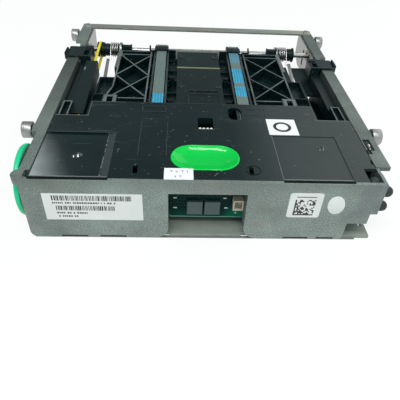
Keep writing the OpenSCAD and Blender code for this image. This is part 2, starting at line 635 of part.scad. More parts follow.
// Black cover with its sunk end panels, pad hole, sensor window and rear bays
panel_sink = 1.2;
tab_in = 76;
tab_w = 12.5;
tab_leg = 3.6;
tab_l = 13;
left_panel_in = path_x - 75;
right_panel_in = path_x + 56.5;
module top_guide() color(black_plastic) difference() {
    union() {
        slab([-cover_half, cover_half], [cover_front, bay_d], [cover_under, cover_top]);
        slab([path_x - 97, path_x + 100.5], [bay_d - 1, cover_end], [cover_under, cover_top]);
        slab([-cover_half, cover_half], [cover_front, cover_front + 2], [skirt_z, cover_top]);
        for (s = [-1, 1]) on_side(s)
            slab([cover_half - 2, cover_half], [cover_front, bay_d - 3], [skirt_z, cover_top]);
        slab([-cover_half, left_panel_in + 6], [cover_front, 63], [cover_under - panel_sink, cover_under]);
        slab([right_panel_in, right_panel_in + 52], [cover_front, 64],
            [cover_under - panel_sink, cover_under]);
        for (s = [-1, 1]) on_side(s, path_x) {
            slab([69, 71], [cover_front, cover_end], [skirt_z, cover_under]);
            for (x = [tab_in, tab_in + tab_w - tab_leg])
                slab([x, x + tab_leg], [cover_end - 1, cover_end + tab_l], [cover_under, cover_top]);
            slab([tab_in, tab_in + tab_w], [cover_end + tab_l - tab_leg, cover_end + tab_l],
                [cover_under, cover_top]);
        }
        slab([path_x - 97, path_x + 100.5], [bay_d - 1, bay_d + 1], [cover_under - 4, cover_under]);
    }
    translate([pad_x, fy(pad_d), cover_under - 9]) linear_extrude(20) stadium(pad_l + 0.4, pad_w + 0.4);
    slab([-cover_half - 1, left_panel_in], [5.5, 62], [cover_top - panel_sink, cover_top + 1]);
    along_y([5.5, 62]) polygon([[left_panel_in, cover_top - panel_sink],
        [left_panel_in + 5.5, cover_top + 0.01], [left_panel_in, cover_top + 1]]);
    slab([right_panel_in, right_panel_in + 52], [5.5, 63], [cover_top - panel_sink / 2, cover_top + 1]);
    slab([path_x - 3.6, path_x + 9.4], [71, 89], [cover_under - 6, cover_top + 1]);
    translate([path_x + 29.2, fy(97.5), cover_under - 6]) linear_extrude(12) rotate(90) stadium(21, 11.6);
    slab([path_x - 52.3, path_x - 48.9], [10, 19.4], [cover_under - 1, cover_top + 1]);
    slab([path_x + 32.6, path_x + 36], [10, 19.4], [cover_under - 1, cover_top + 1]);
    for (x = [[-cover_half - 1, left_panel_in + 5.5], [right_panel_in, right_panel_in + 52]])
        slab(x, [cover_front - 1, 5.5], [cover_top - 2, cover_top + 1]);
    slab([cover_half - 9.5, cover_half + 1], [cover_front - 1, 20], [cover_under - 9, cover_top + 1]);
    slab([cover_half - 1.4, cover_half + 1], [25, 31], [cover_under - 1, cover_top + 1]);
    for (s = [-1, 1]) on_side(s, path_x) slab([belt_x - channel_out - 0.5, belt_x + channel_out + 0.5],
        [front_d - 12, cover_end + 1], [skirt_z - 1, cover_under]);
}
// Green dish that a finger pulls up on, with a lip under the cover
module finger_pad() color(pad_green) translate([pad_x, fy(pad_d), 0]) {
    dish_r = 20;
    dish_w = pad_w - 3;
    rise = sqrt(dish_r * dish_r - dish_w * dish_w / 4);
    difference() {
        union() {
            translate([0, 0, cover_top - pad_depth]) linear_extrude(pad_depth) stadium(pad_l, pad_w);
            translate([0, 0, cover_under - 1]) linear_extrude(1) stadium(pad_l + 5, pad_w + 5);
        }
        translate([0, 0, cover_top + rise]) {
            for (s = [-1, 1]) translate([s * (pad_l - pad_w) / 2, 0, 0]) sphere(dish_r);
            rotate([0, 90, 0]) cylinder(h = pad_l - pad_w, r = dish_r, center = true);
        }
    }
}

// Ribbed panel: a tray with two crossed pairs of ribs. Its outer wall stands at edge with the front end
// bent out, and a low wing and a shelf lie outside it.
panel_start = cover_end + 2;
wing_w = 16;
shelf_w = 10.5;
wing_top = rib_top - 4;
module rib_panel(edge, bend, shelf_end) {
    cross_d = [drive_d - 23.5, drive_d - 73, panel_start + 13.5];
    wing_d = [drive_d - 108, drive_d - 71];
    bend_d = drive_d - 99;
    front_wall = panel_start + 9;
    wing_out = edge + wing_w;
    wall_out = edge + bend;
    slab([panel_in, edge], [panel_start, panel_end], [upper_z, upper_z + 2]);
    slab([edge - 1, wing_out], [front_wall + 0.7, wing_d[1]], [upper_z, upper_z + 2]);
    slab([edge - 1.6, edge], [bend > 0 ? bend_d : front_wall, panel_end], [upper_z, rib_top]);
    if (bend > 0)
        bar([wall_out - 0.8, front_wall + 0.9], [edge - 0.8, bend_d + 0.5], [upper_z, rib_top - 0.3], 1.5);
    slab([panel_in, panel_in + 1.6], [panel_start, panel_end], [upper_z, rib_top]);
    slab([panel_in, edge], [cover_end, cover_end + 2.6], [upper_z, cover_under]);
    slab([panel_in, wall_out], [front_wall, front_wall + 1.6], [upper_z, rib_top]);
    for (d = [cross_d[0], panel_end - 1.6]) slab([panel_in, edge], [d, d + 1.6], [upper_z, rib_top]);
    for (k = [0, 1]) {
        cross_z = [upper_z + 1, rib_top - 0.3 - 0.2 * k];
        bar([panel_in + 0.8, cross_d[k]], [edge - 0.8, cross_d[k + 1]], cross_z, rib_t);
        bar([edge - 0.8, cross_d[k]], [panel_in + 0.8, cross_d[k + 1]], cross_z, rib_t);
    }
    slab([edge - 1, edge + shelf_w], [wing_d[1] - 1, shelf_end], [upper_z, upper_z + 2]);
    slab([wing_out - 1.6, wing_out], wing_d, [upper_z, wing_top]);
    for (d = [wing_d[0], wing_d[1] - 1.6])
        slab([edge - 0.5, wing_out], [d, d + 1.6], [upper_z, wing_top]);
}
module left_rib_panel() color(black_plastic) on_side(-1, path_x) rib_panel(panel_edge[0], 5.5, drive_d - 60);
module right_rib_panel() color(black_plastic) on_side(1, path_x) rib_panel(panel_edge[1], 0, drive_d - 24);

// Belt channel: two walls joined by a web between the belt's runs, with rungs to its neighbours
channel_end = drive_d - 11;
guide_end = drive_d - 6;
screw_d = [125, 173];
module belt_guide() difference() {
    union() {
        for (s = [-1, 1]) translate([belt_x, 0, 0]) on_side(s)
            slab([channel_in, channel_out], [front_d - 8, channel_end], [upper_z, cover_under]);
        slab([belt_x - channel_out, belt_x + channel_out], [front_d + 12, channel_end],
            [front_z - 1.5, front_z + 1.5]);
        slab([centre_half, belt_x - channel_in], [panel_start, guide_end], [upper_z, upper_z + 1.4]);
        slab([belt_x + channel_out - 0.5, panel_in], [panel_start, panel_end], [upper_z, upper_z + 1.4]);
        slab([centre_half, flange_x - free_gap], [guide_end - 1.4, guide_end], [upper_z, plate_top]);
        for (d = [panel_start + 10 : 25 : panel_end]) {
            slab([belt_x + channel_in, panel_in], [d, d + 2], [upper_z, cover_under - 2]);
            slab([centre_half, belt_x - channel_in], [d, d + 2], [upper_z, upper_z + 4]);
        }
        for (d = screw_d) {
            post(screw_x, d, [upper_z, drive_z + 2.5], 2.6);
            bar([screw_x, d], [belt_x - channel_in - 0.5, d + 9], [upper_z + 1, drive_z + 2], 1.2);
            bar([screw_x, d], [belt_x - channel_in - 0.5, d - 9], [upper_z + 1, drive_z + 2], 1.2);
            slab([centre_half, screw_x], [d - 0.8, d + 0.8], [upper_z, drive_z]);
        }
    }
    rod([belt_x - channel_out - 1, belt_x + channel_out + 1], front_d, front_z, front_shaft_r + run_gap);
    for (d = screw_d) post(screw_x, d, [drive_z - 2, drive_z + 3], 1.3);
}
screw_x = centre_half + 4.6;
front_shaft_r = 2;
module left_belt_guide() color(black_plastic) on_side(-1, path_x) belt_guide();
module right_belt_guide() color(black_plastic) on_side(1, path_x) belt_guide();
module guide_screws() color(steel) for (s = [-1, 1], d = screw_d)
    translate([path_x + s * screw_x, fy(d), drive_z + 2.5]) screw(1.2, 3, 2.2, 1.4);

plate_top = rib_top - 0.5;
centre_end = drive_d - 11;
module centre_plate() color(black_plastic) translate([path_x, 0, 0]) difference() {
    union() {
        slab([-centre_half, centre_half], [cover_end, centre_end], [plate_top - 3, plate_top]);
        for (s = [-1, 1]) on_side(s)
            slab([centre_half - 2, centre_half], [cover_end, centre_end], [upper_z, plate_top]);
        for (x = [-18.2, 18.2], d = [drive_d - 95, drive_d - 25])
            post(x, d, [plate_top - 1, plate_top + 0.7], 2.4);
    }
    slab([-10.5, 17.2], [cover_end + 4, cover_end + 30.5], [plate_top - 0.9, plate_top + 1]);
}
module light_guide() color([0.55, 0.45, 0.18]) translate([path_x, 0, 0])
    slab([-centre_half, centre_half], [drive_d - 53.6, drive_d - 51.4], [plate_top, plate_top + 0.6]);
module static_strip() color(zinc_grey) translate([path_x, 0, 0]) {
    slab([-centre_half - 2, centre_half + 2], [centre_end, centre_end + 1.2],
        [upper_z + 2, plate_top + 2.2]);
    for (x = [-21, -5, 5, 21])
        slab([x, x + 0.8], [centre_end, centre_end + 1.2], [plate_top, plate_top + 3.2]);
}
module window_pins() color([0.85, 0.85, 0.80]) translate([path_x, 0, 0]) {
    slab([-3.4, 9.2], [71.2, 74.4], [cover_under - 1, cover_under + 0.5]);
    for (i = [0:3]) post(-1.8 + 3.1 * i, 72.8, [cover_under - 1, cover_under + 2], 1.1);
}

// Flat belt round its two pulleys, standing clear of them
module loop(extra) hull() {
    translate([fy(drive_d), drive_z]) circle(drive_run + extra);
    translate([fy(front_d), front_z]) circle(front_run + extra);
}
module belt() along_x([belt_x - belt_w / 2, belt_x + belt_w / 2]) difference() {
    loop(belt_t);
    loop(0);
}
module left_belt() color(belt_grey) on_side(-1, path_x) belt();
module right_belt() color(belt_grey) on_side(1, path_x) belt();

module hinge_strap(edge) difference() {
    union() {
        rod([edge, edge + strap_t], drive_d, drive_z, 8);
        slab([edge, edge + strap_t], [drive_d - 55, drive_d], [drive_z - 4, drive_z + 4]);
        rod([edge, edge + strap_t + 2.4], drive_d - 12,
            drive_z - spring_r + wire_r + free_gap + 2, 2);
    }
    rod([edge - 1, edge + strap_t + 1], drive_d, drive_z, shaft_r + run_gap);
}
module left_hinge_strap() color(zinc_grey) on_side(-1, path_x) hinge_strap(panel_edge[0]);
module right_hinge_strap() color(zinc_grey) on_side(1, path_x) hinge_strap(panel_edge[1]);

// Hand wheel with a thick rim, a thinner web and a hub on its shaft
wheel_in = -wheel_flange - 1.9;
module hand_wheel() color(wheel_green) difference() {
    union() {
        rod([wheel_in - wheel_rim, wheel_in], wheel_d, wheel_z, wheel_r);
        rod([wheel_in - wheel_rim, wheel_in + 1.5], wheel_d, wheel_z, 8);
    }
    rod([wheel_in - wheel_rim - 1, wheel_in + 2], wheel_d, wheel_z, wheel_shaft_r + fit_gap);
    difference() {
        rod([wheel_in - 1.2, wheel_in + 1], wheel_d, wheel_z, wheel_r - 3);
        rod([wheel_in - 2, wheel_in + 2], wheel_d, wheel_z, 8);
    }
}
module wheel_shaft() color(steel)
    rod([wheel_in - wheel_rim, gear_x + gear_w], wheel_d, wheel_z, wheel_shaft_r);
module gear(teeth, d, z, bore, phase) difference() {
    along_x([gear_x, gear_x + gear_w]) translate([fy(d), z]) gear_outline(teeth, phase);
    rod([gear_x - 1, gear_x + gear_w + 1], d, z, bore + fit_gap);
}
wheel_tooth = 360 / wheel_teeth;
pinion_shift = pinion_angle - lay_angle - wheel_tooth * floor((pinion_angle - lay_angle) / wheel_tooth);
module wheel_gear() color([0.80, 0.80, 0.76]) gear(wheel_teeth, wheel_d, wheel_z, wheel_shaft_r, lay_angle);
module lay_gear() color([0.80, 0.80, 0.76])
    gear(lay_teeth, lay_d, lay_z, lay_r, lay_angle + 180 + 180 / lay_teeth);
pinion_r = 1.2;
module motor_pinion() color([0.78, 0.64, 0.35]) union() {
    along_x([gear_x, gear_x + gear_w]) translate([fy(motor_d), motor_z]) gear_outline(pinion_teeth,
        pinion_angle + 180 + 180 / pinion_teeth + pinion_shift * wheel_teeth / pinion_teeth);
    rod([gear_x + gear_w, lug_x - free_gap], motor_d, motor_z, pinion_r);
}
module lay_shaft() color(steel) rod([-web_out, pulley_x + pulley_w + 1], lay_d, lay_z, lay_r);
// Pulley with a square groove for the round cord
module cord_wheel(d, z, bore) difference() {
    union() {
        rod([pulley_x, pulley_x + pulley_w], d, z, groove_r);
        for (x = [pulley_x, cord_x + groove_w / 2])
            rod([x, x + (pulley_w - groove_w) / 2], d, z, cord_r + 0.6);
    }
    rod([pulley_x - 1, pulley_x + pulley_w + 1], d, z, bore + fit_gap);
}
module lay_pulley() color(black_plastic) cord_wheel(lay_d, lay_z, lay_r);
module sleeve(x, l) difference() {
    union() {
        rod([x, x + l], drive_d, drive_z, sleeve_r);
        rod([x, x + 1.5], drive_d, drive_z, sleeve_r + 1.6);
    }
    rod([x - 1, x + l + 1], drive_d, drive_z, shaft_r + fit_gap);
}
module cord_pulley() color(black_plastic) {
    cord_wheel(drive_d, drive_z, shaft_r);
    translate([pulley_x + pulley_w, 0, 0]) sleeve(0, sleeve_l);
}
sleeve_l = path_x - panel_edge[0] - strap_t - 0.6 - pulley_x - pulley_w;
module shaft_sleeve() color(black_plastic) on_side(-1, path_x)
    sleeve(-panel_edge[1] - strap_t - 0.6 - sleeve_l, sleeve_l);
module drive_shaft() color(steel) rod([-rail_in, rail_in], drive_d, drive_z, shaft_r);
module drive_pulleys() color(rubber_black) for (s = [-1, 1]) on_side(s, path_x) difference() {
    union() {
        rod([belt_x - belt_w / 2 - 1, belt_x + belt_w / 2 + 1], drive_d, drive_z, drive_pulley_r);
        for (x = [flange_x, belt_x + belt_w / 2 + 0.6])
            rod([x, x + 0.8], drive_d, drive_z, drive_pulley_r + 1.2);
    }
    rod([belt_x - belt_w, belt_x + belt_w], drive_d, drive_z, shaft_r + fit_gap);
}
module front_shaft() color(steel) translate([path_x, 0, 0])
    rod([-belt_x - channel_out - 1, belt_x + channel_out + 1], front_d, front_z, front_shaft_r);
module front_pulleys() color(rubber_black) for (s = [-1, 1]) on_side(s, path_x) difference() {
    rod([belt_x - belt_w / 2, belt_x + belt_w / 2], front_d, front_z, front_pulley_r);
    rod([belt_x - belt_w, belt_x + belt_w], front_d, front_z, front_shaft_r + fit_gap);
}
// Idler: one axle with two rubber rollers under the belts
module idler(d) color(rubber_black) translate([path_x, 0, 0]) {
    rod([-guide_ribs[1][1], guide_ribs[1][1]], d, idler_z(d), axle_idler_r);
    for (s = [-1, 1]) on_side(s) rod([belt_x - belt_w / 2, belt_x + belt_w / 2], d, idler_z(d), idler_r);
}
module front_idler() idler(front_idler_d);
module rear_idler() idler(rear_idler_d);

front_beam();
left_rail();
right_rail();
left_rear_arm();
right_rear_arm();
left_side_plate();
right_side_plate();
rear_tie_strip();
left_end_block();
right_end_block();
base_plate();
left_side_member();
right_side_member();
lower_guide();
sensor_board();
board_sensors();
board_connector();
side_buffers();
roller_axles();
frame_screws();
shaft_bushes();
drive_cord();
left_torsion_spring();
right_torsion_spring();
spring_anchors();
drive_motor();
top_guide();
finger_pad();
left_rib_panel();
right_rib_panel();
left_belt_guide();
right_belt_guide();
centre_plate();
light_guide();
left_belt();
right_belt();
left_hinge_strap();
right_hinge_strap();
guide_screws();
static_strip();
window_pins();
hand_wheel();
wheel_shaft();
wheel_gear();
lay_shaft();
lay_gear();
lay_pulley();
motor_pinion();
drive_shaft();
drive_pulleys();
cord_pulley();
shaft_sleeve();
front_shaft();
front_pulleys();
front_idler();
rear_idler();
front_left_roller();
front_right_roller();
rear_left_roller();
rear_right_roller();
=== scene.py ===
"""Dresses the banknote transport carriage: finishes, labels, cover details, belts and stage."""

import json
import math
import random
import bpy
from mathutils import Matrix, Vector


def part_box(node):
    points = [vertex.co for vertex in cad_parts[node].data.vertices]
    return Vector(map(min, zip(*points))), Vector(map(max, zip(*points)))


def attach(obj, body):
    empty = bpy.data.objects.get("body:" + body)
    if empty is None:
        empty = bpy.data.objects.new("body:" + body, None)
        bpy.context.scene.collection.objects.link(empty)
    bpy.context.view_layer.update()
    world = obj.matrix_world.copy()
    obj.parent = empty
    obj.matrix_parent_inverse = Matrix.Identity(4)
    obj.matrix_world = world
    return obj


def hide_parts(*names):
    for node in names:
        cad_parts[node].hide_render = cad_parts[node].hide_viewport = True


bl_info = {
    "name": "Banknote Transport Carriage",
    "version": (1, 0, 0),
    "blender": (4, 5, 0),
    "location": "View3D > Sidebar > Carriage",
    "description": "Builds the finishes, labels and small parts of a banknote transport carriage",
    "category": "Object",
}

import bmesh
import bpy
from bpy.props import FloatProperty, FloatVectorProperty, IntProperty, PointerProperty
from mathutils import Matrix, Vector

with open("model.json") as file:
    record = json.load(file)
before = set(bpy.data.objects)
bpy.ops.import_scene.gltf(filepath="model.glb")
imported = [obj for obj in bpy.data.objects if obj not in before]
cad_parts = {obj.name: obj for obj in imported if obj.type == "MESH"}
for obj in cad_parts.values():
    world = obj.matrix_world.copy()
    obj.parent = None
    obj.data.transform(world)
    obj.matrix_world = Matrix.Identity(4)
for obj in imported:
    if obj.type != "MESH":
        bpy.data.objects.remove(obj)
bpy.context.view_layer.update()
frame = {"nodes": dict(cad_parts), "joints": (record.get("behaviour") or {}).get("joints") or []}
MM = 0.001
FRONT_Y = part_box("front_beam")[0][1]
COVER_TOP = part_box("top_guide")[1][2] / MM


def joint_place(name):
    """Where a joint's axis lies, in metres."""
    return next(j["pos_m"] for j in frame["joints"] if j["name"] == name)


# Drive shaft: its Y in metres, then how far it lies behind the front face and its height, in mm
SHAFT_Y = joint_place("drive_turn")[1]
SHAFT_D = (SHAFT_Y - FRONT_Y) / MM
SHAFT_Z = joint_place("drive_turn")[2] / MM
# Vertices closer than this are joined, in metres
MERGE = 1e-6
# How much of the white room shows in reflections, and how white the floor reads
GLOSSY_SHARE = 0.2
FLOOR_GLOW = 0.78
# Specular level of the black plastic
PLASTIC_LEVEL = 0.2
# Depth of the cover's sunk left panel and of its ramp, in mm behind the front face
PANEL_DEPTH = (5.4, 62.2)
# Tabs and rear edges of the cover, paler for wear and as a painted edge highlight, across and from the front,
# in mm
RUBBED_AND_HIGHLIT_EDGES = (((-90.9, -87.3), (113, 127)), ((-82, -78.4), (113, 127)), ((-90.9, -78.4), (123.4, 127)),
                ((-99.4, -69), (113, 114)), ((-99.4, -98.4), (89.5, 114)), ((-126, -98.4), (88.6, 89.5)),
                ((73.6, 77.2), (113, 127)), ((82.5, 86.1), (113, 127)), ((73.6, 86.1), (123.4, 127)),
                ((66, 98.1), (113, 114)), ((97.1, 98.1), (89.5, 114)), ((97.1, 126), (88.6, 89.5)))


def colour(name, value, description):
    return FloatVectorProperty(name=name, description=description, default=value, subtype="COLOR",
                               size=3, min=0.0, max=1.0)


def length(name, value, description):
    return FloatProperty(name=name, description=description, default=value * MM, unit="LENGTH",
                         subtype="DISTANCE", precision=5)


class CarriageColours(bpy.types.PropertyGroup):
    casting: colour("Casting", (0.235, 0.284, 0.262), "Grey of the cast beam, rails and arms")
    sheet: colour("Sheet steel", (0.43, 0.445, 0.42), "Zinc plated strip, plates and straps")
    steel: colour("Bright steel", (0.66, 0.66, 0.65), "Shafts, rollers, springs and screws")
    plastic: colour("Black plastic", (0.0045, 0.0135, 0.0150), "Cover, guides, troughs and blocks")
    # Pale for wear, and also used as a painted highlight on rib tops and cover edges
    worn: colour("Worn plastic", (0.18, 0.215, 0.21), "Rubbed tops of ribs and edges")
    pad: colour("Finger pad", (0.0, 0.70, 0.086), "Green of the finger pad")
    wheel: colour("Hand wheel", (0.001, 0.64, 0.29), "Green of the hand wheel")
    belt: colour("Belt", (0.135, 0.185, 0.172), "Grey of the belts")
    band: colour("Belt band", (0.028, 0.46, 0.76), "Blue bands printed on the belts")
    cord: colour("Cord", (0.90, 0.74, 0.015), "Yellow of the round drive cord")
    board: colour("Board", (0.0022, 0.021, 0.018), "Solder mask of the sensor board")
    base: colour("Base plate", (0.245, 0.276, 0.243), "Olive grey of the base plate")
    paper: colour("Paper", (0.80, 0.81, 0.79), "Labels and stickers on the beam")
    card: colour("Card", (0.97, 0.98, 0.97), "Square label and paper tag on the cover")
    ink: colour("Ink", (0.028, 0.028, 0.030), "Bars and dots printed on the labels")
    rubber: colour("Rubber", (0.026, 0.030, 0.031), "Buffers, pulleys and idler rollers")


class CarriageSizes(bpy.types.PropertyGroup):
    cast_edge: length("Casting edge", 0.8, "Rounding of the castings' edges")
    plastic_edge: length("Plastic edge", 0.35, "Rounding of the moulded edges")
    paper_thickness: length("Label thickness", 0.15, "Thickness of the labels")
    raised_line: length("Raised line", 0.35, "Height of the raised lines on the cover")
    code_cells: IntProperty(name="Code cells", description="Cells along one side of the dot pattern",
                            default=14, min=8, max=24)
    dish_radius: length("Dish radius", 20, "Radius of the finger pad's hollow")


class CarriageStage(bpy.types.PropertyGroup):
    camera_place: FloatVectorProperty(name="Camera place", description="Where the camera stands",
                                      default=(-0.0214, -0.3905, 0.2468), subtype="TRANSLATION")
    camera_lens: FloatProperty(name="Lens", description="Focal length on a 36 mm sensor, in mm",
                               default=39.02)
    camera_pitch: FloatProperty(name="Pitch", description="How far the camera looks down",
                                default=math.radians(41.015), subtype="ANGLE")
    camera_yaw: FloatProperty(name="Yaw", description="How far the camera looks to the right",
                              default=math.radians(3.774), subtype="ANGLE")
    camera_roll: FloatProperty(name="Roll", description="How far the camera leans",
                               default=math.radians(3.263), subtype="ANGLE")
    floor_colour: colour("Floor", (0.86, 0.87, 0.86), "Pale floor under the part")
    key_power: FloatProperty(name="Key light", description="Power of the main lamp", default=15.5,
                             unit="POWER")
    rim_power: FloatProperty(name="Rear light", description="Power of the lamp behind on the right",
                             default=5.0, unit="POWER")
    sheen_power: FloatProperty(name="Sheen light", description="Power of the lamp that the cover mirrors",
                               default=0.16, unit="POWER")


def settings(kind):
    return getattr(bpy.context.scene, "carriage_" + kind)


# Mesh helpers. Places are given in mm: X across, depth behind the front face, height.


def at(x, depth, z):
    return Vector((x * MM, FRONT_Y + depth * MM, z * MM))


def box_mm(node):
    """A CAD node's lowest and highest corners at rest, in mm."""
    return [Vector(corner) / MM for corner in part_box(node)]


def cuboid(bm, x, depth, z):
    """Box between two places on each axis; gives its edges."""
    verts = bmesh.ops.create_cube(bm, size=1.0)["verts"]
    low, high = at(x[0], depth[0], z[0]), at(x[1], depth[1], z[1])
    bmesh.ops.scale(bm, vec=high - low, verts=verts)
    bmesh.ops.translate(bm, vec=(low + high) / 2, verts=verts)
    return list({e for v in verts for e in v.link_edges})


def round_off(bm, edges, radius, segments):
    bmesh.ops.bevel(bm, geom=edges, offset=radius * MM, offset_type="OFFSET", segments=segments,
                    profile=0.5, affect="EDGES", clamp_overlap=True, material=-1)


def block(bm, x, depth, z, edge=0.0):
    """Box with all its edges rounded."""
    edges = cuboid(bm, x, depth, z)
    if edge:
        round_off(bm, edges, edge, 2)


def card(bm, x, depth, z, axis, corner):
    """Thin card with round corners; axis is the direction across its thickness."""
    edges = [e for e in cuboid(bm, x, depth, z)
             if abs((e.verts[0].co - e.verts[1].co).normalized()[axis]) > 0.9]
    round_off(bm, edges, corner, 6)


def joined(bm, places, closed=False):
    """Vertices at places, with the edges that join them in a line or a ring."""
    verts = [bm.verts.new(place) for place in places]
    following = verts[1:] + verts[:1] if closed else verts[1:]
    return verts + [bm.edges.new(pair) for pair in zip(verts, following)]


def spun(bm, geom, centre, axis, angle, steps, merge=False):
    """Turns a section round an axis; gives the section where it ends."""
    return bmesh.ops.spin(bm, geom=geom, cent=centre, axis=axis, dvec=(0, 0, 0), angle=angle, steps=steps,
                          use_merge=merge, use_duplicate=False)["geom_last"]


def turned(bm, profile, depth, z, steps=64):
    """Closed profile of (X, radius) turned round an axis along X."""
    ring = joined(bm, [at(x, depth, z + r) for x, r in profile], closed=True)
    spun(bm, ring, at(0, depth, z), (1, 0, 0), math.tau, steps, merge=True)


def upright(bm, profile, x, depth, steps=48):
    """Profile of (radius, height) turned round an upright axis; its ends may lie on the axis."""
    line = joined(bm, [at(x + r, depth, z) for r, z in profile])
    spun(bm, line, at(x, depth, 0), (0, 0, 1), math.tau, steps, merge=True)
    bmesh.ops.remove_doubles(bm, verts=bm.verts[:], dist=MERGE)


def draw_out(bm, geom, shift):
    """Draws the edges of a cross section out along a straight run."""
    edges = [g for g in geom if isinstance(g, bmesh.types.BMEdge)]
    made = bmesh.ops.extrude_edge_only(bm, edges=edges)["geom"]
    bmesh.ops.translate(bm, vec=shift, verts=[g for g in made if isinstance(g, bmesh.types.BMVert)])
    return [g for g in made if not isinstance(g, bmesh.types.BMFace)]


def line_frame(bm, x, depth, z, width):
    """Four raised lines round a rectangle on a face that looks up."""
    for rear in ((depth[0], depth[0] + width), (depth[1] - width, depth[1])):
        block(bm, x, rear, z, 0.12)
    for side in ((x[0], x[0] + width), (x[1] - width, x[1])):
        block(bm, side, depth, z, 0.12)


def in_scene(name, data):
    """New object of a mesh, curve, camera or lamp in the scene."""
    made = bpy.data.objects.new(name, data)
    bpy.context.scene.collection.objects.link(made)
    return made


def ride_on(name, data, body, coat):
    """Makes a mesh or curve a piece that rides on a body."""
    made = in_scene(name, data)
    data.materials.append(finish(coat))
    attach(made, body)
    return made


def piece(name, bm, body, coat, sharp=35):
    """Makes a bmesh a smooth piece whose edges past an angle stay sharp."""
    bmesh.ops.recalc_face_normals(bm, faces=bm.faces[:])
    for face in bm.faces:
        face.smooth = True
    mesh = bpy.data.meshes.new(name)
    bm.to_mesh(mesh)
    bm.free()
    mesh.set_sharp_from_angle(angle=math.radians(sharp))
    return ride_on(name, mesh, body, coat)


def tube(name, points, radius, body, coat, closed):
    """Round wire or cord along points."""
    data = bpy.data.curves.new(name, "CURVE")
    data.dimensions = "3D"
    data.bevel_depth = radius * MM
    data.bevel_resolution = 3
    data.use_fill_caps = True
    spline = data.splines.new("POLY")
    spline.points.add(len(points) - 1)
    for point, place in zip(spline.points, points):
        point.co = (*place, 1.0)
    spline.use_cyclic_u = closed
    spline.use_smooth = True
    return ride_on(name, data, body, coat)


# Materials


def add_node(tree, kind, inputs=(), **values):
    made = tree.nodes.new(kind)
    for key, value in values.items():
        setattr(made, key, value)
    for key, value in dict(inputs).items():
        if isinstance(value, bpy.types.NodeSocket):
            tree.links.new(value, made.inputs[key])
        else:
            made.inputs[key].default_value = value
    return made


def math_node(tree, operation, a, b, clamp=False):
    return add_node(tree, "ShaderNodeMath", {0: a, 1: b}, operation=operation, use_clamp=clamp).outputs[0]


def times(tree, a, b):
    return math_node(tree, "MULTIPLY", a, b)


def plus(tree, a, b, clamp=False):
    return math_node(tree, "ADD", a, b, clamp)


def mix_colour(tree, factor, a, b):
    made = add_node(tree, "ShaderNodeMix", data_type="RGBA")
    for index, value in ((0, factor), (6, a), (7, b)):
        if isinstance(value, bpy.types.NodeSocket):
            tree.links.new(value, made.inputs[index])
        else:
            made.inputs[index].default_value = value if index == 0 else (*value, 1.0)
    return made.outputs[2]


def ranged(tree, value, low, high, to_low, to_high):
    return add_node(tree, "ShaderNodeMapRange", {0: value, 1: low, 2: high, 3: to_low, 4: to_high},
                    clamp=True).outputs[0]


def spread(tree, value, to_low=0.0, to_high=1.0):
    """Brings the middle part of a noise to a range."""
    return ranged(tree, value, 0.3, 0.7, to_low, to_high)


def object_place(tree):
    return add_node(tree, "ShaderNodeTexCoord").outputs["Object"]


def separate(tree, vector):
    return add_node(tree, "ShaderNodeSeparateXYZ", {0: vector}).outputs


def mapped(tree, **values):
    """Object coordinates turned or stretched."""
    return add_node(tree, "ShaderNodeMapping", {"Vector": object_place(tree), **values}).outputs[0]


def noise(tree, vector, scale, detail, roughness=0.5):
    return add_node(tree, "ShaderNodeTexNoise", {"Vector": vector, "Scale": scale, "Detail": detail,
                                                 "Roughness": roughness}).outputs["Fac"]


def drawn_noise(tree, detail, **values):
    """Noise drawn out to lines."""
    return noise(tree, mapped(tree, **values), 1.0, detail)


def top_share(tree, value, share, width):
    """The highest share of a noise, with a soft edge."""
    edge = math_node(tree, "SUBTRACT", 1.0, share)
    return ranged(tree, math_node(tree, "SUBTRACT", value, edge), 0.0, width, 0.0, 1.0)


def between(tree, value, low, high):
    return times(tree, math_node(tree, "GREATER_THAN", value, low),
                 math_node(tree, "LESS_THAN", value, high))


def use_group(tree, fill, **values):
    """Adds a node group, which is filled when it is first asked for; gives its outputs."""
    group = bpy.data.node_groups.get(fill.__name__)
    if group is None:
        group = bpy.data.node_groups.new(fill.__name__, "ShaderNodeTree")
        for label in values:
            group.interface.new_socket(label, in_out="INPUT", socket_type="NodeSocketFloat")
        results = fill(group, group.nodes.new("NodeGroupInput").outputs)
        for label in results:
            group.interface.new_socket(label, in_out="OUTPUT", socket_type="NodeSocketFloat")
        put = group.nodes.new("NodeGroupOutput").inputs
        for label, result in results.items():
            group.links.new(result, put[label])
    return add_node(tree, "ShaderNodeGroup", values, node_tree=group).outputs


def surface_grain(tree, given):
    """Fine grain and broad clouds, as on a casting or a moulded skin."""
    place = object_place(tree)
    return {"Grain": noise(tree, place, given["Scale"], 3.0),
            "Cloud": noise(tree, place, given["Clouds"], 5.0, 0.6)}


def fine_scuffs(tree, given):
    """Thin scratches that run in two directions, in patches."""
    scratches = 0.0
    for turn, stretch in ((20, (30, 1100, 200)), (-65, (26, 900, 200))):
        lines = drawn_noise(tree, 2.0, Rotation=(0, 0, math.radians(turn)), Scale=stretch)
        scratches = math_node(tree, "MAXIMUM", scratches, ranged(tree, lines, 0.69, 0.74, 0.0, 1.0))
    patch = noise(tree, object_place(tree), 22.0, 2.0)
    return {"Scuff": times(tree, scratches, top_share(tree, patch, given["Cover"], 0.12))}


def loose_dust(tree, given):
    """Sparse specks of dust."""
    specks = noise(tree, object_place(tree), given["Scale"], 0.0)
    return {"Dust": top_share(tree, specks, given["Amount"], 0.05)}


def worn_and_highlit_tops(tree, given):
    """Upward faces between two heights, such as the tops of ribs."""
    coords = add_node(tree, "ShaderNodeTexCoord").outputs
    inside = between(tree, separate(tree, coords["Object"])[2], given["Low"], given["High"])
    up = ranged(tree, separate(tree, coords["Normal"])[2], 0.55, 0.9, 0.0, 1.0)
    return {"Top": times(tree, inside, up)}


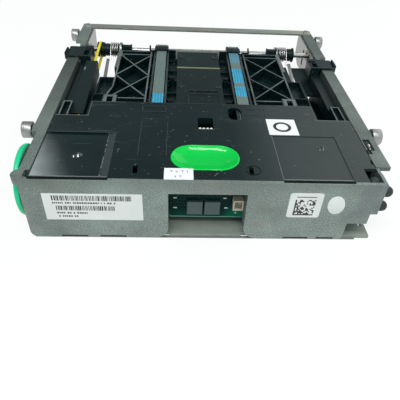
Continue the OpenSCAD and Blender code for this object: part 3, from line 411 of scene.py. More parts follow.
def plan_area(tree, given):
    """Rectangle seen from above, between two X and two Y places."""
    across, along, _ = separate(tree, object_place(tree))
    return {"Inside": times(tree, between(tree, across, given["Left"], given["Right"]),
                            between(tree, along, given["Front"], given["Rear"]))}


def area(tree, x, depth):
    """Mask of a rectangle on the part, in mm."""
    low, high = at(x[0], depth[0], 0), at(x[1], depth[1], 0)
    return use_group(tree, plan_area, Left=low.x, Right=high.x, Front=low.y, Rear=high.y)["Inside"]


def marked(tree, base, rough, scratches, specks):
    """Scratches (how many, how pale, how dull) and specks of dust (how many, how pale) on a surface."""
    scuff = use_group(tree, fine_scuffs, Cover=scratches[0])["Scuff"]
    dust = use_group(tree, loose_dust, Scale=420.0, Amount=specks[0])["Dust"]
    marks = plus(tree, times(tree, scuff, scratches[1]), times(tree, dust, specks[1]), clamp=True)
    return (mix_colour(tree, marks, base, settings("colours").worn),
            plus(tree, rough, times(tree, scuff, scratches[2])))


def seen_share(tree, glossy):
    """1 where the camera looks, straight or through a clear piece, and a share of it in reflections."""
    path = add_node(tree, "ShaderNodeLightPath").outputs
    shine = times(tree, path["Is Glossy Ray"], glossy)
    return plus(tree, plus(tree, path["Is Camera Ray"], shine), path["Is Transmission Ray"], clamp=True)


def blank_material(name, roughness, metallic=0.0, level=0.5):
    """New material with its node tree."""
    material = bpy.data.materials.new(name)
    material.use_nodes = True
    put = material.node_tree.nodes["Principled BSDF"].inputs
    for key, value in (("Roughness", roughness), ("Metallic", metallic), ("Specular IOR Level", level)):
        put[key].default_value = value
    return material, material.node_tree


def surfaced(material, base, rough, height, strength, distance):
    """Joins a colour, a roughness where there is one and a bump to a material's shader."""
    tree = material.node_tree
    bump = add_node(tree, "ShaderNodeBump", {"Height": height, "Strength": strength,
                                             "Distance": distance * MM}).outputs[0]
    put = tree.nodes["Principled BSDF"].inputs
    for key, socket in (("Base Color", base), ("Roughness", rough), ("Normal", bump)):
        if socket is not None:
            tree.links.new(socket, put[key])
    return material


def toned(shade, *factors):
    """A shade made darker or lighter, by one factor or by one for each channel."""
    return tuple(c * f for c, f in zip(shade, factors if len(factors) == 3 else factors * 3))


def cast_metal(name, lightness, rear_darkening=0.0, stained=False):
    """Sand-blasted casting: coarse speckle, broad stains, rubbed scratches, a darker band near the top of
    front faces and, where asked, darker towards the rear.
    """
    material, tree = blank_material(name, 0.5, metallic=0.6)
    shade = toned(settings("colours").casting, lightness)
    grain = use_group(tree, surface_grain, Scale=1000.0, Clouds=22.0)
    scuff = use_group(tree, fine_scuffs, Cover=0.45)["Scuff"]
    blotch = use_group(tree, surface_grain, Scale=330.0, Clouds=75.0)
    speck = ranged(tree, grain["Grain"], 0.36, 0.66, 0.0, 1.0)
    base = mix_colour(tree, speck, toned(shade, 0.6), toned(shade, 1.42))
    base = mix_colour(tree, ranged(tree, blotch["Cloud"], 0.5, 0.68, 0.0, 0.6), base,
                      toned(shade, 1.12, 0.9, 0.92))
    base = mix_colour(tree, ranged(tree, blotch["Grain"], 0.5, 0.75, 0.0, 0.4), base, toned(shade, 0.76))
    for low, high, strength, tone in ((0.5, 0.7, 0.7, 0.6), (0.47, 0.3, 0.6, 1.4)):
        stain = ranged(tree, grain["Cloud"], low, high, 0.0, strength)
        base = mix_colour(tree, stain, base, toned(shade, tone))
    base = mix_colour(tree, times(tree, scuff, 0.35), base, toned(shade, 1.7))
    coords = add_node(tree, "ShaderNodeTexCoord").outputs
    across, along, height = separate(tree, coords["Object"])
    facing = separate(tree, coords["Normal"])[1]
    # Darker band on front-facing faces near the top
    upper_front_band = times(tree, ranged(tree, height, 45 * MM, 55 * MM, 0.0, 0.5),
                  ranged(tree, facing, -0.9, -0.6, 1.0, 0.0))
    base = mix_colour(tree, upper_front_band, base, toned(shade, 0.62))
    if stained:
        edge = math_node(tree, "SUBTRACT", across, times(tree, height, 0.25))
        ragged = plus(tree, edge, spread(tree, blotch["Cloud"], -8 * MM, 8 * MM))
        stain = times(tree, ranged(tree, ragged, 101 * MM, 105 * MM, 0.0, 0.4),
                      ranged(tree, height, 26 * MM, 29 * MM, 0.0, 1.0))
        base = mix_colour(tree, stain, base, toned(shade, 0.66, 0.64, 0.76))
    # Darker towards the rear
    if rear_darkening:
        base = mix_colour(tree, ranged(tree, along, at(0, 60, 0).y, at(0, 190, 0).y, 0.0, rear_darkening), base,
                          toned(shade, 0.3))
    return surfaced(material, base, spread(tree, grain["Cloud"], 0.42, 0.58), grain["Grain"], 0.4, 0.15)


def brushed(name, shade, roughness, along, tint=None):
    """Bare metal with brush lines along one axis and a faint tarnish."""
    material, tree = blank_material(name, roughness, metallic=1.0)
    stretch = [1400.0, 1400.0, 1400.0]
    stretch[along] = 25.0
    lines = drawn_noise(tree, 3.0, Scale=stretch)
    cloud = use_group(tree, surface_grain, Scale=600.0, Clouds=30.0)["Cloud"]
    base = mix_colour(tree, spread(tree, lines), toned(shade, 0.8), shade)
    base = mix_colour(tree, ranged(tree, cloud, 0.45, 0.75, 0.0, 0.7), base, tint or toned(shade, 0.75))
    rough = spread(tree, lines, roughness - 0.06, roughness + 0.1)
    return surfaced(material, base, rough, lines, 0.12, 0.03)


def moulded(name, shade, roughness, worn=None, rub=1.0, bare=None, grain_size=700.0, scuffed=0.0):
    """Moulded plastic with a faint skin texture, pale tops between two heights for wear and as a painted
    highlight, and scratches.
    """
    material, tree = blank_material(name, roughness, level=PLASTIC_LEVEL)
    grain = use_group(tree, surface_grain, Scale=grain_size, Clouds=26.0)
    base = mix_colour(tree, spread(tree, grain["Cloud"]), toned(shade, 0.8), toned(shade, 1.2))
    rough = spread(tree, grain["Cloud"], roughness - 0.05, roughness + 0.07)
    # Pale upward tops, partly wear and partly a painted highlight where the rounded rib tops catch the light
    if worn:
        top = use_group(tree, worn_and_highlit_tops, Low=worn[0] * MM, High=worn[1] * MM)["Top"]
        if bare:
            top = math_node(tree, "SUBTRACT", top, area(tree, *bare), clamp=True)
        patchy = ranged(tree, grain["Cloud"], 0.35, 0.6, 0.35 * rub, 0.9 * rub)
        patchy = times(tree, top, patchy)
        base = mix_colour(tree, patchy, base, settings("colours").worn)
        rough = plus(tree, rough, times(tree, patchy, 0.2))
    if scuffed:
        base, rough = marked(tree, base, rough, (scuffed, 0.6, 0.25), (0.22, 0.5))
    return surfaced(material, base, rough, grain["Grain"], 0.08, 0.05)


def cover_plastic():
    """Cover: glossy left panel with a pale painted reflection, pale ramp, duller right panel that is also
    paler as a painted reflection, scratches and dust.
    """
    material, tree = blank_material("cover_plastic", 0.25, level=PLASTIC_LEVEL)
    colours = settings("colours")
    grain = use_group(tree, surface_grain, Scale=800.0, Clouds=24.0)
    base = mix_colour(tree, spread(tree, grain["Cloud"]), toned(colours.plastic, 0.8),
                      toned(colours.plastic, 1.25))
    rough = spread(tree, grain["Cloud"], 0.2, 0.32)
    across, along, _ = separate(tree, object_place(tree))
    # Right part of the cover: rougher, and paler as a painted reflection
    dull = ranged(tree, across, 20 * MM, 62 * MM, 0.0, 1.0)
    base = mix_colour(tree, times(tree, dull, 0.8), base, (0.044, 0.057, 0.056))
    rough = plus(tree, rough, times(tree, dull, 0.16))
    shiny = area(tree, (-128, -77.6), PANEL_DEPTH)
    rough = math_node(tree, "SUBTRACT", rough, times(tree, shiny, 0.1))
    # Pale painted reflection on the left panel, stronger towards its outer front corner
    slant = plus(tree, across, times(tree, along, 0.4))
    slant = plus(tree, slant, spread(tree, grain["Cloud"], -4 * MM, 4 * MM))
    painted_reflection = math_node(tree, "POWER", ranged(tree, slant, -154 * MM, -180 * MM, 0.0, 0.9), 1.6)
    base = mix_colour(tree, times(tree, painted_reflection, shiny), base, (0.36, 0.40, 0.40))
    nicks = times(tree, area(tree, (-78.4, -77.3), PANEL_DEPTH),
                  ranged(tree, grain["Grain"], 0.5, 0.58, 0.0, 1.0))
    base = mix_colour(tree, nicks, base, colours.worn)
    ramp = area(tree, (-77.5, -71.8), PANEL_DEPTH)
    speck = ranged(tree, grain["Grain"], 0.4, 0.62, 0.55, 1.0)
    base = mix_colour(tree, times(tree, ramp, speck), base, (0.05, 0.062, 0.063))
    rough = plus(tree, rough, times(tree, ramp, 0.3))
    # Tabs and rear edges paler, for wear and as a painted edge highlight
    rubbed = 0.0
    for x, depth in RUBBED_AND_HIGHLIT_EDGES:
        rubbed = math_node(tree, "MAXIMUM", rubbed, area(tree, x, depth))
    rubbed = times(tree, rubbed, ranged(tree, grain["Cloud"], 0.35, 0.6, 0.5, 0.8))
    base = mix_colour(tree, rubbed, base, colours.worn)
    base, rough = marked(tree, base, rough, (0.5, 0.5, 0.2), (0.2, 0.4))
    return surfaced(material, base, rough, grain["Grain"], 0.06, 0.05)


def bricks(tree, shade, tones, size, **values):
    """Rows of dashes: tones of the dashes and the gaps; length, row height and gap in mm."""
    made = add_node(tree, "ShaderNodeTexBrick", {"Vector": mapped(tree, **values), "Scale": 1.0})
    for socket, tone in zip(("Color1", "Color2", "Mortar"), tones):
        made.inputs[socket].default_value = (*toned(shade, tone), 1.0)
    for socket, length_mm in zip(("Brick Width", "Row Height", "Mortar Size"), size):
        made.inputs[socket].default_value = length_mm * MM
    return made


def belt_rubber(name, bands):
    """Flat belt: grey rubber with fine lines along it and worn blue bands of small dashes."""
    material, tree = blank_material(name, 0.5)
    colours = settings("colours")
    lines = drawn_noise(tree, 2.0, Scale=(2600, 60, 60))
    base = mix_colour(tree, spread(tree, lines), toned(colours.belt, 0.8), toned(colours.belt, 1.2))
    dashes = bricks(tree, colours.band, (1.0, 0.8, 0.35), (5.6, 2.6, 0.35),
                    Rotation=(0, 0, math.radians(90)))
    dashes.inputs["Mortar Smooth"].default_value = 0.1
    for depth, strength in bands:
        inside = times(tree, area(tree, (-60, 60), depth), strength)
        base = mix_colour(tree, inside, base, dashes.outputs["Color"])
    return surfaced(material, base, None, lines, 0.15, 0.05)


def gloss_green(name, shade, roughness, level, hollow=None):
    """Glossy green moulding, darker towards the bottom of a hollow between two heights, as painted shade."""
    material, tree = blank_material(name, roughness, level=level)
    grain = use_group(tree, surface_grain, Scale=500.0, Clouds=35.0)
    base = mix_colour(tree, spread(tree, grain["Cloud"]), toned(shade, 0.88), shade)
    if hollow:
        # Darker towards the bottom of the hollow, painted shade
        height = separate(tree, object_place(tree))[2]
        hollow_shade = ranged(tree, height, hollow[0] * MM, hollow[1] * MM, 0.9, 0.0)
        base = mix_colour(tree, hollow_shade, base, toned(shade, 0.76))
    rough = spread(tree, grain["Cloud"], roughness - 0.03, roughness + 0.08)
    return surfaced(material, base, rough, grain["Grain"], 0.04, 0.04)


def printed_board():
    """Green circuit board with darker tracks under its mask, and a painted lighter band along its lower edge,
    brightest at the right, where light falls on it.
    """
    material, tree = blank_material("printed_board", 0.45, level=0.06)
    tracks = bricks(tree, settings("colours").board, (0.75, 1.0, 1.8), (11, 3.1, 0.4),
                    Rotation=(math.radians(90), 0, 0))
    across, _, height = separate(tree, object_place(tree))
    # Lower edge lighter, and its right part lighter still, as painted light
    painted_light = ranged(tree, height, 19 * MM, 12 * MM, 0.0, 1.0)
    base = mix_colour(tree, painted_light, tracks.outputs["Color"], (0.003, 0.058, 0.040))
    painted_light = times(tree, ranged(tree, height, 22 * MM, 15 * MM, 0.0, 1.0),
                   ranged(tree, across, 14 * MM, 23 * MM, 0.0, 1.0))
    base = mix_colour(tree, painted_light, base, (0.006, 0.17, 0.105))
    return surfaced(material, base, None, tracks.outputs["Fac"], 0.2, 0.05)


def paper(name, shade):
    """Pale paper with a fine tooth."""
    material, tree = blank_material(name, 0.5)
    grain = use_group(tree, surface_grain, Scale=1800.0, Clouds=60.0)
    base = mix_colour(tree, spread(tree, grain["Cloud"]), toned(shade, 0.93), shade)
    return surfaced(material, base, None, grain["Grain"], 0.05, 0.03)


def plain_skin(name, shade, roughness, metallic=0.0, size=700.0, level=0.5):
    """Simple skin with grain and light clouds, for small parts."""
    material, tree = blank_material(name, roughness, metallic, level)
    grain = use_group(tree, surface_grain, Scale=size, Clouds=70.0)
    base = mix_colour(tree, spread(tree, grain["Cloud"]), toned(shade, 0.82), toned(shade, 1.08))
    rough = spread(tree, grain["Grain"], roughness - 0.05, roughness + 0.08)
    return surfaced(material, base, rough, grain["Grain"], 0.1, 0.06)


def finish(name):
    """A finish by name, made when it is first asked for."""
    if name in bpy.data.materials:
        return bpy.data.materials[name]
    c = settings("colours")
    makers = {
        "cast_metal": lambda: cast_metal(name, 1.0),
        "stained_casting": lambda: cast_metal(name, 1.0, stained=True),
        # Darker copy of the casting, painted shade for the right rail and right rear arm
        "shaded_casting": lambda: cast_metal(name, 0.6),
        # Casting darker towards the rear, for the left rail
        "rear_darkened_casting": lambda: cast_metal(name, 1.0, rear_darkening=0.85),
        "sheet_across": lambda: brushed(name, toned(c.sheet, 1.3), 0.42, 0, (0.56, 0.59, 0.40)),
        "sheet_along": lambda: brushed(name, toned(c.sheet, 0.88), 0.36, 1),
        "dull_zinc": lambda: plain_skin(name, (0.40, 0.41, 0.37), 0.45, metallic=0.25),
        "turned_steel": lambda: brushed(name, c.steel, 0.28, 0),
        "roller_steel": lambda: brushed(name, toned(c.steel, 0.66), 0.42, 0),
        "cover_plastic": cover_plastic,
        "rib_plastic": lambda: moulded(name, c.plastic, 0.3, worn=(52.6, 54.2), scuffed=0.35),
        "trough_plastic": lambda: moulded(name, c.plastic, 0.4, worn=(54.1, 54.6), grain_size=300.0,
                                          bare=((-117, -100), (30, 250))),
        "channel_plastic": lambda: moulded(name, c.plastic, 0.3, worn=(52.6, 54.2), rub=0.3, scuffed=0.35),
        "block_plastic": lambda: moulded(name, c.plastic, 0.33, scuffed=0.45),
        # Pale edge plastic, for wear and as a painted edge highlight
        "worn_and_highlight_edge": lambda: moulded(name, (0.045, 0.056, 0.056), 0.35),
        # Pale edge plastic, a painted highlight on the panels' lips
        "highlight_edge": lambda: moulded(name, (0.17, 0.19, 0.19), 0.3),
        "nub_gloss": lambda: plain_skin(name, (0.02, 0.03, 0.03), 0.1, level=0.9),
        # Near-black matte plastic, painted shadow in the cover's front gap
        "shadow_black": lambda: plain_skin(name, (0.003, 0.007, 0.007), 0.6, level=0.1),
        "plate_plastic": lambda: moulded(name, c.plastic, 0.3, scuffed=0.42),
        "left_belt_rubber": lambda: belt_rubber(name, [((112, 137), 0.85)]),
        "right_belt_rubber": lambda: belt_rubber(name, [((206, 242), 0.37), ((161.5, 192.6), 0.9),
                                                        ((134.5, 154.5), 0.88)]),
        "pad_gloss": lambda: gloss_green(name, c.pad, 0.06, 0.25, (50.5, 54.8)),
        "wheel_gloss": lambda: gloss_green(name, c.wheel, 0.3, 0.5),
        "printed_board": printed_board,
        "label_paper": lambda: paper(name, c.paper),
        "card_paper": lambda: paper(name, c.card),
        "print_ink": lambda: plain_skin(name, c.ink, 0.55),
        "pen_ink": lambda: plain_skin(name, (0.34, 0.35, 0.52), 0.55),
        "soft_rubber": lambda: plain_skin(name, c.rubber, 0.6),
        "cord_skin": lambda: plain_skin(name, c.cord, 0.35),
        "base_paint": lambda: plain_skin(name, c.base, 0.5, size=500.0),
        "sensor_skin": lambda: plain_skin(name, (0.080, 0.118, 0.117), 0.35, level=0.3),
        "cream_housing": lambda: plain_skin(name, (0.62, 0.57, 0.45), 0.4),
        "pale_nylon": lambda: plain_skin(name, (0.82, 0.82, 0.78), 0.35),
        "amber_rod": lambda: plain_skin(name, (0.23, 0.25, 0.155), 0.45, level=0.2),
        # Bright green, a painted highlight on the board's edge
        "edge_highlight_green": lambda: plain_skin(name, (0.15, 0.39, 0.32), 0.4),
        "bush_bronze": lambda: brushed(name, (0.20, 0.19, 0.17), 0.4, 0),
        "black_steel": lambda: brushed(name, (0.05, 0.056, 0.056), 0.4, 0),
        "motor_shell": lambda: brushed(name, (0.40, 0.41, 0.42), 0.32, 0),
    }
    return makers[name]()


def coat_nodes(coat, edge, *nodes):
    """Gives CAD nodes a finish and, where there is an edge radius, rounded edges."""
    material = finish(coat)
    for name in nodes:
        node = frame["nodes"][name]
        if not node.material_slots:
            node.data.materials.append(material)
        for slot in node.material_slots:
            slot.material = material
        if edge:
            weld = node.modifiers.new("join_faces", "WELD")
            weld.merge_threshold = MERGE
            flat = node.modifiers.new("flat_faces", "DECIMATE")
            flat.decimate_type = "DISSOLVE"
            flat.angle_limit = math.radians(1)
            rounding = node.modifiers.new("round_edges", "BEVEL")
            rounding.width = edge
            rounding.segments = 2
            rounding.limit_method = "ANGLE"
            rounding.angle_limit = math.radians(40)
            rounding.harden_normals = True


class CarriageOperator:
    bl_options = {"REGISTER", "UNDO"}


class CARRIAGE_OT_frame(CarriageOperator, bpy.types.Operator):
    """Cast frame, sheet steel plates, base and board"""
    bl_idname = "carriage.frame"
    bl_label = "Frame Finishes"

    def execute(self, context):
        cast, edge = settings("sizes").cast_edge, settings("sizes").plastic_edge
        coat_nodes("stained_casting", cast, "front_beam")
        coat_nodes("cast_metal", cast, "left_rear_arm")
        coat_nodes("rear_darkened_casting", cast, "left_rail")
        # The right rail and arm take the darker copy of the casting as painted shade
        coat_nodes("shaded_casting", cast, "right_rail", "right_rear_arm")
        coat_nodes("sheet_across", edge, "rear_tie_strip")
        coat_nodes("dull_zinc", edge, "static_strip")
        coat_nodes("sheet_along", edge, "left_side_plate", "right_side_plate", "spring_anchors",
                   "left_hinge_strap", "right_hinge_strap")
        coat_nodes("base_paint", edge, "base_plate")
        coat_nodes("printed_board", None, "sensor_board")
        coat_nodes("sensor_skin", edge, "board_sensors")
        coat_nodes("cream_housing", edge, "board_connector")
        coat_nodes("soft_rubber", None, "side_buffers")
        coat_nodes("turned_steel", edge, "roller_axles", "frame_screws")
        coat_nodes("black_steel", edge, "guide_screws")
        coat_nodes("roller_steel", edge, "front_left_roller", "front_right_roller", "rear_left_roller",
                   "rear_right_roller")
        return {"FINISHED"}


class CARRIAGE_OT_guides(CarriageOperator, bpy.types.Operator):
    """Black cover, ribbed panels, belt channels, troughs and blocks"""
    bl_idname = "carriage.guides"
    bl_label = "Guide Finishes"

    def execute(self, context):
        edge = settings("sizes").plastic_edge
        coat_nodes("cover_plastic", edge, "top_guide")
        coat_nodes("rib_plastic", edge, "left_rib_panel", "right_rib_panel")
        coat_nodes("channel_plastic", edge, "left_belt_guide", "right_belt_guide")
        coat_nodes("plate_plastic", edge, "centre_plate")
        coat_nodes("trough_plastic", edge, "left_side_member", "right_side_member")
        coat_nodes("block_plastic", edge, "left_end_block", "right_end_block", "lower_guide")
        coat_nodes("amber_rod", None, "light_guide")
        coat_nodes("pale_nylon", None, "window_pins")
        return {"FINISHED"}


class CARRIAGE_OT_drive(CarriageOperator, bpy.types.Operator):
    """Shafts, gears, pulleys, bushes and motor"""
    bl_idname = "carriage.drive"
    bl_label = "Drive Finishes"

    def execute(self, context):
        edge = settings("sizes").plastic_edge
        coat_nodes("turned_steel", edge, "wheel_shaft", "lay_shaft", "drive_shaft", "front_shaft")
        coat_nodes("pale_nylon", None, "wheel_gear", "lay_gear")
        coat_nodes("bush_bronze", None, "shaft_bushes", "motor_pinion")
        coat_nodes("block_plastic", edge, "lay_pulley", "cord_pulley", "shaft_sleeve")
        coat_nodes("soft_rubber", None, "drive_pulleys", "front_pulleys", "front_idler", "rear_idler")
        coat_nodes("motor_shell", edge, "drive_motor")
        return {"FINISHED"}


def print_rows(bm, chance, rows, widths, gaps, depth):
    """Rows of printed bars of chance widths; a row is its left and right ends and its two heights."""
    for left, right, low, high in rows:
        x = left
        while x < right:
            width = chance.choice(widths)
            block(bm, (x, x + width), depth, (low, high))
            x += width + chance.choice(gaps)


class CARRIAGE_OT_front_labels(CarriageOperator, bpy.types.Operator):
    """White label with bars, dot code sticker and oval sticker on the beam"""
    bl_idname = "carriage.front_labels"
    bl_label = "Front Labels"

    def execute(self, context):
        sizes = settings("sizes")
        thick = sizes.paper_thickness / MM
        ink = (-thick - 0.04, -thick + 0.02)
        bm = bmesh.new()
        card(bm, (-119, -47.5), (-thick, 0.02), (18.8, 44.2), 1, 0.5)
        piece("front_label", bm, "frame", "label_paper")
        chance = random.Random(11)
        bm = bmesh.new()
        rows = (-112.5, -56, 37.6, 42.3), (-110.5, -68, 28.2, 32.6)
        print_rows(bm, chance, rows, (0.35, 0.5, 0.7, 1.0), (0.35, 0.45, 0.8), ink)
        piece("label_bars", bm, "frame", "print_ink")
        bm = bmesh.new()
        rows = (-112.5, -67, 34.65, 36.15), (-110.5, -89, 24.95, 26.45), (-109.5, -95, 21.65, 23.15)
        print_rows(bm, chance, rows, (0.8, 1.1, 1.4), (0.45, 0.45, 0.45, 1.5), ink)
        piece("label_dashes", bm, "frame", "print_ink")
        bm = bmesh.new()
        card(bm, (60, 85), (-thick, 0.02), (23.8, 47.7), 1, 2.0)
        piece("code_sticker", bm, "frame", "label_paper")
        bm = bmesh.new()
        code_side = 15.4
        cells, pitch = sizes.code_cells, code_side / sizes.code_cells
        for column in range(cells):
            for row in range(cells):
                if column == 0 or row == 0 or chance.random() < 0.48:
                    x, z = 64.6 + column * pitch, 26.0 + row * pitch
                    block(bm, (x, x + pitch), ink, (z, z + pitch))
        block(bm, (65, 80), ink, (43.6, 44.3))
        piece("code_dots", bm, "frame", "print_ink")
        bm = bmesh.new()
        verts = bmesh.ops.create_cone(bm, cap_ends=True, segments=48, radius1=1.0, radius2=0.97,
                                      depth=1.0)["verts"]
        bmesh.ops.scale(bm, vec=(9.0 * MM, 6.5 * MM, thick * MM), verts=verts)
        place = Matrix.Translation(at(96.1, -thick / 2, 36.2)) @ Matrix.Rotation(math.radians(90), 4, "X") \
            @ Matrix.Rotation(math.radians(103), 4, "Z")
        bmesh.ops.transform(bm, matrix=place, verts=verts)
        piece("oval_sticker", bm, "frame", "label_paper")
        return {"FINISHED"}


class CARRIAGE_OT_board_parts(CarriageOperator, bpy.types.Operator):
    """Small parts on the sensor board and connector pins"""
    bl_idname = "carriage.board_parts"
    bl_label = "Board Parts"

    def execute(self, context):
        low, high = box_mm("sensor_board")
        depth = low.y - FRONT_Y / MM
        bm = bmesh.new()
        # Across, height, width and rise of each chip
        for x, z, w, h in ((-24, 29.9, 3, 0.9), (-24, 19.8, 3, 0.9), (-20, 40.5, 2.4, 1.2),
                           (14.3, 30, 2.4, 0.7), (15.9, 20, 3, 0.9), (-5, 40, 2.4, 1.2),
                           (6, 40, 2.4, 1.2), (23.7, 15.2, 1.3, 1.3)):
            block(bm, (x - w / 2, x + w / 2), (depth - 0.5, depth + 0.02), (z - h / 2, z + h / 2), 0.12)
        piece("board_chips", bm, "frame", "pale_nylon")
        bm = bmesh.new()
        # Bright green strip along the board's lower edge, a painted highlight on its lit edge
        block(bm, (low.x + 0.3, high.x - 0.3), (depth - 0.35, depth + 0.02), (10.1, 11.0), 0.15)
        piece("board_edge_highlight", bm, "frame", "edge_highlight_green")
        bm = bmesh.new()
        left, _, bottom = box_mm("board_connector")[0]
        for step in range(4):
            z = bottom + 2.0 + 1.9 * step
            block(bm, (left + 3.7, left + 4.3), (depth - 5.4, depth - 1.4), (z - 0.3, z + 0.3), 0.1)
        piece("connector_pins", bm, "frame", "turned_steel")
        return {"FINISHED"}


class CARRIAGE_OT_cover_marks(CarriageOperator, bpy.types.Operator):
    """Raised frames, ridges, rings and nubs moulded on the cover"""
    bl_idname = "carriage.cover_marks"
    bl_label = "Cover Marks"

    def execute(self, context):
        rise = settings("sizes").raised_line / MM
        z = (COVER_TOP - 0.05, COVER_TOP + rise)
        bm = bmesh.new()
        line_frame(bm, (-54, -33.2), (97.4, 107), z, 0.6)
        line_frame(bm, (35.4, 54.2), (94.8, 106), z, 0.6)
        for x in (-52.8, -31.2):
            block(bm, (x - 0.25, x + 0.25), (32, 81.5), (z[0], COVER_TOP + 0.2), 0.1)
        block(bm, (49.4, 49.8), (6, 45), (z[0], COVER_TOP + 0.15), 0.05)
        block(bm, (-126.5, -70.5), (62.4, 63.2), z, 0.12)
        # Front edge of the ribbed panels, where the cover's rear edge lies; the pale lines along it and the
        # notches are wear and a painted edge highlight
        rear = box_mm("left_rib_panel")[0].y - FRONT_Y / MM
        rim = (COVER_TOP - 0.05, COVER_TOP + 0.12)
        block(bm, (-98.6, 97.4), (rear - 0.7, rear - 0.2), rim)
        for x in ((-98.9, -98.4), (97.2, 97.7)):
            block(bm, x, (90.5, rear - 0.2), rim)
        for x in (-90.6, -78.9, 73.9, 85.6):
            block(bm, (x, x + 0.5), (rear, rear + 12.7), rim)
        for x in ((-90.6, -78.4), (73.9, 86.1)):
            block(bm, x, (rear + 12.3, rear + 12.8), rim)
        piece("cover_lines", bm, "upper_guide", "worn_and_highlight_edge")
        bm = bmesh.new()
        # Lips along the panels' front edges and the right panel's left edge, pale as a painted edge highlight
        step = COVER_TOP - 2.05
        for x in ((-126.6, -71.4), (53.9, 105.9)):
            block(bm, x, (4.6, 6.0), (step, COVER_TOP - 0.15), 0.15)
        block(bm, (53.9, 54.4), (5.9, 62.6), (COVER_TOP - 0.65, COVER_TOP + 0.1), 0.1)
        piece("panel_lips", bm, "upper_guide", "highlight_edge")
        # Near-black matte strips before the panels' lips, painted shadow in the gap between cover and beam
        bm = bmesh.new()
        for x in ((-126.9, -71.2), (53.8, 106.2)):
            block(bm, x, (3.35, 3.95), (step, COVER_TOP + 0.4))
            block(bm, x, (1.3, 3.95), (COVER_TOP + 0.26, COVER_TOP + 0.5))
        piece("gap_shadow_strips", bm, "upper_guide", "shadow_black")
        bm = bmesh.new()
        upright(bm, [(5.1, z[0]), (5.1, z[1]), (5.6, z[1]), (5.6, z[0])], 33.4, 15.6)
        piece("slot_ring", bm, "upper_guide", "block_plastic")
        bm = bmesh.new()
        for x, depth, drop in ((-97.0, 33.0, 1.2), (93.6, 47.0, 0.6)):
            foot = COVER_TOP - drop - 0.05
            for shift, size in ((0.0, 1.0), (-3.2, 0.65)):
                profile = [(r * size, foot + up * size)
                           for r, up in ((3.2, 0.0), (1.2, 1.6), (0.6, 1.5), (0.0, 1.1))]
                upright(bm, profile, x + shift, depth + shift / 2)
        piece("cover_nubs", bm, "upper_guide", "nub_gloss")
        return {"FINISHED"}


class CARRIAGE_OT_cover_papers(CarriageOperator, bpy.types.Operator):
    """Paper tag and square label on the cover"""
    bl_idname = "carriage.cover_papers"
    bl_label = "Cover Papers"

    def execute(self, context):
        thick = settings("sizes").paper_thickness / MM
        # Undersides of the papers: the tag is bent up a little, the label lies flat
        tag, flat = COVER_TOP + 0.25, COVER_TOP - 0.02
        bm = bmesh.new()
        card(bm, (-32, -10.9), (2.8, 16.2), (tag, tag + thick), 2, 0.3)
        block(bm, (-31.5, -11.5), (6.0, 15.6), (flat, tag))
        piece("paper_tag", bm, "upper_guide", "card_paper")
        bm = bmesh.new()
        card(bm, (52.8, 77.6), (64.2, 89.0), (flat, COVER_TOP + thick), 2, 0.3)
        piece("square_label", bm, "upper_guide", "card_paper")
        bm = bmesh.new()
        low, high = flat + thick, COVER_TOP + thick + 0.05
        upright(bm, [(5.1, low), (5.1, high), (7.7, high), (7.7, low)], 65.2, 76.6)
        piece("label_ring", bm, "upper_guide", "print_ink")
        bm = bmesh.new()
        low, high = tag + thick - 0.02, tag + thick + 0.05
        for x, depth, width in ((-28.5, 12.6, 3.0), (-24.2, 12.2, 2.2), (-20.8, 12.7, 3.4),
                                (-16.0, 12.3, 1.2), (-25.0, 6.4, 1.8), (-21.8, 6.8, 2.6)):
            block(bm, (x, x + width), (depth, depth + 0.5), (low, high))
            block(bm, (x + width / 2, x + width / 2 + 0.5), (depth - 1.4, depth + 0.9), (low, high))
        piece("pen_strokes", bm, "upper_guide", "pen_ink")
        return {"FINISHED"}


class CARRIAGE_OT_finger_dish(CarriageOperator, bpy.types.Operator):
    """Green dish with a rounded lip in place of the plain pad"""
    bl_idname = "carriage.finger_dish"
    bl_label = "Finger Dish"

    def execute(self, context):
        low, high = box_mm("finger_pad")
        middle = (low + high) / 2
        # Width of the node's flange, which the dish leaves out
        flange = 2.5
        half, depth = (high.y - low.y) / 2 - flange, middle.y - FRONT_Y / MM
        reach = (high.x - low.x) / 2 - flange - half
        radius, under, lip = settings("sizes").dish_radius / MM, low.z, half - 1.4
        rim = COVER_TOP + 0.45
        # Half section from the underside's middle, round the lip, down to the bottom of the hollow
        section = [(0.0, under), (half - 0.8, under), (half, under + 0.8), (half, rim - 0.7),
                   (half - 0.25, rim - 0.2), (half - 0.8, rim), (half - 1.2, rim - 0.1)]
        sag = math.sqrt(radius ** 2 - lip ** 2)
        for step in range(13):
            r = lip * (1 - step / 12)
            section.append((r, rim - 0.3 - (math.sqrt(radius ** 2 - r ** 2) - sag)))
        bm = bmesh.new()
        right, left = middle.x + reach, middle.x - reach
        geom = joined(bm, [at(right, depth - r, z) for r, z in section])
        for x, shift in ((right, left - right), (left, right - left)):
            geom = spun(bm, geom, at(x, depth, 0), (0, 0, 1), math.pi, 32)
            geom = draw_out(bm, geom, Vector((shift * MM, 0, 0)))
        bmesh.ops.remove_doubles(bm, verts=bm.verts[:], dist=MERGE)
        dish = piece("finger_dish", bm, "upper_guide", "pad_gloss", sharp=60)
        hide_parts("finger_pad")
        return {"FINISHED"}


